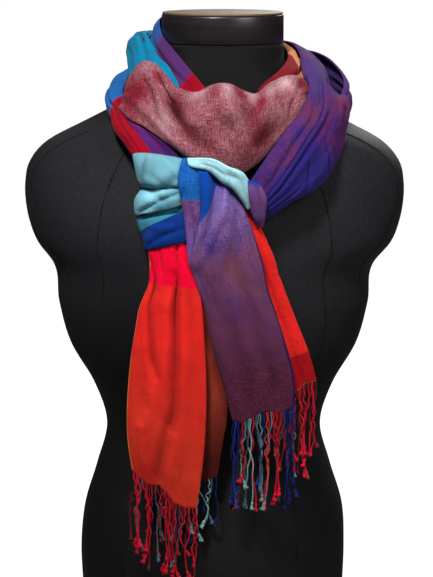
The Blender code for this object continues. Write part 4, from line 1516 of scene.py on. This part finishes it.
# Each row: the hem's side and layer, which name the fringe and the stretch it hangs from, then its material
# slot, length, seed, and the cords' yarns, a letter each, in bundles that are tied together near their ends.
FRINGES = (
    ("left_back", "yarn_teal", 0.056, 3, "ntt tsn tts nt tnt sn"),
    ("left_front", "yarn_crimson", 0.080, 5, "cdc cs cdc dc dsc cd ccdc dc ccd sc cdc cc"),
    ("right_edge", "yarn_crimson", 0.082, 7, "cgo cdt cc ocd cdc ccd"),
    ("right_front", "yarn_blue", 0.090, 9, "nbnn cd tst tc nst tnb oct cdc dcs bnnb nb"),
)
FRINGE_POINTS = 48
CORD_RADIUS = 0.00044
# A cord's broad wave and its fine ripple: how far it turns on its way, in radians, its size in metres, and
# the least and most of that size. Then where a wave may start, and its share towards the front.
WAVES = (((5, 10), 0.0026, 0.3, 1.0), ((20, 44), 0.0015, 0.3, 1.2))
WAVE_STARTS = (0, 6)
FORWARD_SHARE = 0.6
# The slack below the knot, how much the cord thickens at it and over which share, and how much it tapers.
SLACK_BELOW = 0.35
KNOT_SWELL = 1.1
KNOT_SHARE = 0.022
TAPER = 0.35

# What a draw lies between: a bundle's share of the fringe's length, the share at which it is tied, a tied and
# a loose cord's share of their bundle's length, and how thick and how light a cord is.
BUNDLE_REACH = (0.74, 1.04)
TIED_AT = (0.66, 0.88)
TIED_REACH = (0.93, 1.03)
LOOSE_REACH = (0.55, 0.85)
CORD_THICKNESS = (0.85, 1.2)
CORD_TONE = (0.55, 1.2)
# Where a cord's root lies on its own piece of the hem.
ROOT_PLACE = (0.3, 0.7)
# The share of loose cords, and how far to a side or to the front a draw may move things, in metres.
LOOSE_SHARE = 0.22
KNOT_DRIFT = 0.004
LOOSE_DRIFT = 0.005
ROOT_DRIFT = 0.0006
SPLAY = 0.0045


def hem_point(hem, share):
    steps = np.concatenate([[0.0], np.cumsum(np.linalg.norm(np.diff(hem, axis=0), axis=1))])
    return np.array([np.interp(share * steps[-1], steps, hem[:, axis]) for axis in range(3)])


def cord_line(root, knot, reach, tied, chance):
    """The middle line of a hanging cord, which waves between its root and its knot, and its sizes."""
    share = np.linspace(0.0, 1.0, FRINGE_POINTS)
    upper = np.clip(share / tied, 0.0, 1.0)
    past_knot = np.clip((share - tied) / (1 - tied), 0.0, 1.0)
    slack = np.sin(np.pi * upper) + SLACK_BELOW * past_knot
    draw = upper * upper * (3 - 2 * upper)
    line = np.zeros((FRINGE_POINTS, 3))
    for axis, amount in ((0, 1.0), (1, FORWARD_SHARE)):
        wave = np.zeros(FRINGE_POINTS)
        for turns, size, least, most in WAVES:
            bend = np.sin(share * chance.uniform(*turns) + chance.uniform(*WAVE_STARTS))
            wave += bend * size * chance.uniform(least, most)
        splay = chance.uniform(-SPLAY, SPLAY) * past_knot
        line[:, axis] = root[axis] + (knot[axis] - root[axis]) * draw + (wave * slack + splay) * amount
    line[:, 2] = root[2] - reach * share
    sizes = 1.0 + KNOT_SWELL * np.exp(-(((share - tied) / KNOT_SHARE) ** 2)) - TAPER * share
    return line, sizes


def cord_values(material, radius, twist, step=0.0011, sides=5, knot=0.0, tuft=0.0):
    """What the cord tree is given. The twist is the length of a full turn."""
    values = {"Material": material, "Ply radius": radius, "Twist length": twist, "Step": step}
    values.update({"Ply sides": sides, "Knot radius": knot, "Tuft length": tuft})
    return values


def fringe(name, hem, length, seed, bundles, tree, material):
    """Cords of two plies that hang from a hem, tied in uneven bundles."""
    chance = random.Random(seed)
    count = len(bundles.replace(" ", ""))
    lines, colours, sizes = [], [], []
    for bundle in bundles.split():
        reach = length * chance.uniform(*BUNDLE_REACH)
        tied = chance.uniform(*TIED_AT)
        middle = (len(lines) + len(bundle) / 2) / count
        knot = hem_point(hem, middle) + np.array((chance.uniform(-KNOT_DRIFT, KNOT_DRIFT), 0, 0))
        for letter in bundle:
            root = hem_point(hem, (len(lines) + chance.uniform(*ROOT_PLACE)) / count)
            root[1] += chance.uniform(-ROOT_DRIFT, ROOT_DRIFT)
            loose = chance.random() < LOOSE_SHARE
            place = root + np.array((chance.uniform(-LOOSE_DRIFT, LOOSE_DRIFT), 0, 0)) if loose else knot
            own = reach * chance.uniform(*(LOOSE_REACH if loose else TIED_REACH))
            line, size = cord_line(root, place, own, tied, chance)
            colour, thickness = FRINGE_YARNS[letter]
            lines.append(line)
            sizes.append(size * thickness * chance.uniform(*CORD_THICKNESS))
            tone = chance.uniform(*CORD_TONE)
            colours.append(tuple(value * tone for value in colour))
    values = cord_values(material, CORD_RADIUS, twist=0.0052, knot=0.0013, tuft=0.0062)
    return finish(grown(name + "_cords", tree, lines, colours, values, sizes), name)


# Each row: name, the stretch, its row or column of points that the thread follows, colour and radius.
EDGE_THREADS = (
    ("edge_left_tail", "tail_left_front", np.s_[:, 0], ORANGE, 0.00036),
    ("hem_left_tail", "tail_left_front", np.s_[-1], ORANGE_RED, 0.00045),
    ("hem_rust_tail", "tail_left_back", np.s_[-1], RUST, 0.00040),
    ("edge_right_tail_left", "tail_right_front", np.s_[60:, 0], NAVY, 0.00034),
    ("edge_right_tail_right", "tail_right_front", np.s_[:, -1], NAVY, 0.00034),
    ("hem_right_tail", "tail_right_front", np.s_[-1], PLUM, 0.00045),
    ("edge_thin_tail", "tail_right_edge", np.s_[:, -1], CRIMSON, 0.00032),
    ("hem_thin_tail", "tail_right_edge", np.s_[-1], TAN, 0.00045),
    ("edge_right_roll", "strand_right_outer", np.s_[:, -1], CRIMSON, 0.00040),
    ("lip_right_roll", "strand_right_outer", np.s_[0], VIOLET_BLUE, 0.00040),
    ("edge_inner_strand", "wrap_inner", np.s_[:, -1], TAN, 0.00036),
    ("edge_cowl", "cowl_front", np.s_[:, 0], GREY_PINK, 0.00030),
    ("edge_bridge", "knot_bridge", np.s_[:, 0], PALE_TEAL, 0.00036),
    ("edge_knot", "knot_wrap_upper", np.s_[0], PALE_TEAL, 0.00034),
    ("edge_knot_foot", "knot_wrap_lower", np.s_[-1], ROYAL_BLUE, 0.00036),
)


def edge_thread(name, edge, colour, radius, tree, material):
    """A fine twisted thread along an edge of the cloth."""
    values = cord_values(material, radius, twist=0.004, sides=4)
    return finish(grown(name, tree, [edge], [colour], values), None)


# The form's seams: height in mm, and the share of the half width at which the seam lies there.
PRINCESS_SEAM = (
    (590, 0.60),
    (530, 0.50),
    (463, 0.58),
    (400, 0.67),
    (333, 0.72),
    (240, 0.64),
    (100, 0.62),
    (3, 0.62),
)
ARM_SEAM = ((540, 0.86), (513, 0.93), (480, 0.955), (440, 0.93), (410, 0.90), (385, 0.93))
BACK_SEAM = ((612, 0.0), (300, 0.0), (3, 0.0))
SEAMS = (
    ("seam_front_left", PRINCESS_SEAM, -1, True),
    ("seam_front_right", PRINCESS_SEAM, 1, True),
    ("seam_arm_left", ARM_SEAM, -1, True),
    ("seam_arm_right", ARM_SEAM, 1, True),
    ("seam_back_left", PRINCESS_SEAM, -1, False),
    ("seam_back_right", PRINCESS_SEAM, 1, False),
    ("seam_back_middle", BACK_SEAM, 1, False),
)
SEAM_STEP = 4
STITCH_OFFSET = 0.0013


def form_line(marks, side, in_front, aside=0.0):
    """A line down the form through a seam's marks, moved to the side by a little."""
    marks = np.array(sorted(marks), float)
    heights = np.arange(marks[0, 0], marks[-1, 0], SEAM_STEP)
    share = rows_at(marks, marks[:, 0], heights)[:, 1]
    sections = np.array(FORM_SECTIONS, float)
    rows = rows_at(sections, sections[:, 0], heights)
    share = share + aside / (rows[:, 2] * MM)
    depth = np.where(in_front, -rows[:, 3], rows[:, 4])
    x = rows[:, 1] + side * rows[:, 2] * share
    y = depth * np.sqrt(np.maximum(0.0, 1 - share**2))
    return np.stack([x, y, heights], axis=-1) * MM


def form_seams(cords, stitches, material):
    """A fine welt down each seam of the jersey, with a row of stitches on both sides of it."""
    welt = cord_values(material, radius=0.0003, twist=0.05, step=0.003)
    stitch = {"Step": 0.003, "Stitch length": 0.0019, "Thread radius": 0.00022, "Material": material}
    for name, marks, side, in_front in SEAMS:
        middle = [form_line(marks, side, in_front)]
        rows = [form_line(marks, side, in_front, aside) for aside in (-STITCH_OFFSET, STITCH_OFFSET)]
        welts = grown(name + "_welt", cords, middle, [linear(8, 7, 8)], welt)
        sewn = grown(name + "_stitches", stitches, rows, [linear(30, 28, 30)] * 2, stitch)
        for obj in (welts, sewn):
            finish(obj, None)


# The setting

def floor():
    """A pale floor, lit a little from itself towards the camera so that it stays plain behind the object."""
    points = [(x * FLOOR_HALF, y * FLOOR_HALF, 0) for x, y in ((-1, -1), (1, -1), (1, 1), (-1, 1))]
    material, tree, shader = new_material("pale_floor", 0.9, specular=0.1)
    grain = noise_marks(tree, object_place(tree), FLOOR_MARKS)
    link(tree, mixed(tree, grain, *FLOOR_COLOURS), shader.inputs["Base Color"])
    seen = node(tree, "ShaderNodeLightPath").outputs["Is Camera Ray"]
    shader.inputs["Emission Color"].default_value = (*WHITE, 1.0)
    link(tree, times(tree, seen, FLOOR_GLOW), shader.inputs["Emission Strength"])
    new_piece("floor", points, [(0, 1, 2, 3)], material)


def lights():
    """A white room whose own light is low, and its lamps: a small key, a wide fill and one behind."""
    world = bpy.data.worlds.new("studio")
    bpy.context.scene.world = world
    world.use_nodes = True
    tree = world.node_tree
    background = tree.nodes["Background"]
    seen = node(tree, "ShaderNodeLightPath").outputs["Is Camera Ray"]
    background.inputs["Color"].default_value = (*WHITE, 1.0)
    strength = added(tree, times(tree, seen, 1.0 - ROOM_LIGHT), ROOM_LIGHT)
    link(tree, strength, background.inputs["Strength"])
    for name, place, size, power in LIGHTS:
        data = bpy.data.lights.new(name, "AREA")
        data.size = size
        data.energy = power
        obj = new_object(name, data)
        obj.location = place
        obj.rotation_euler = (Vector(LIGHT_AIM) - Vector(place)).to_track_quat("-Z", "Y").to_euler()


def camera():
    data = bpy.data.cameras.new("camera")
    data.sensor_fit = "HORIZONTAL"
    data.sensor_width = SENSOR_WIDTH
    data.lens = FOCAL_PIXELS / PHOTO_WIDTH * SENSOR_WIDTH
    obj = new_object("camera", data)
    back = Vector((0.0, -math.cos(CAMERA_RISE), math.sin(CAMERA_RISE))) * CAMERA_DISTANCE
    obj.location = CAMERA_TARGET + back
    obj.rotation_euler = (-back).to_track_quat("-Z", "Y").to_euler()
    bpy.context.scene.camera = obj


def main():
    camera()
    lights()
    floor()
    laid = Laid()
    form_body(laid, jersey_material())
    neck_cap(laid)
    groups = (weave_group(), yarn_change_group())
    cords = twisted_cord_tree()
    yarn = yarn_material()
    made = {}
    for name, rows, round_neck, slot_name, *_ in STRETCHES:
        obj, grid, normals = cloth_stretch(name, rows, round_neck, laid, cloth_material(name, *groups))
        finish(obj, name)
        made[name] = (obj, grid + normals * CLOTH_THICKNESS / 2)
    hung_on = {name: [] for name in made}
    for hem_name, slot_name, length, seed, bundles in FRINGES:
        hem = made["tail_" + hem_name][1][-1]
        obj = fringe("fringe_" + hem_name, hem, length, seed, bundles, cords, yarn)
        hung_on["tail_" + hem_name].append(obj)
    for name, stretch, where, colour, radius in EDGE_THREADS:
        edge = made[stretch][1][where]
        hung_on[stretch].append(edge_thread(name, edge, colour, radius, cords, yarn))
    form_seams(cords, stitch_tree(), yarn)


bpy.context.scene.view_settings.view_transform = "Standard"
main()
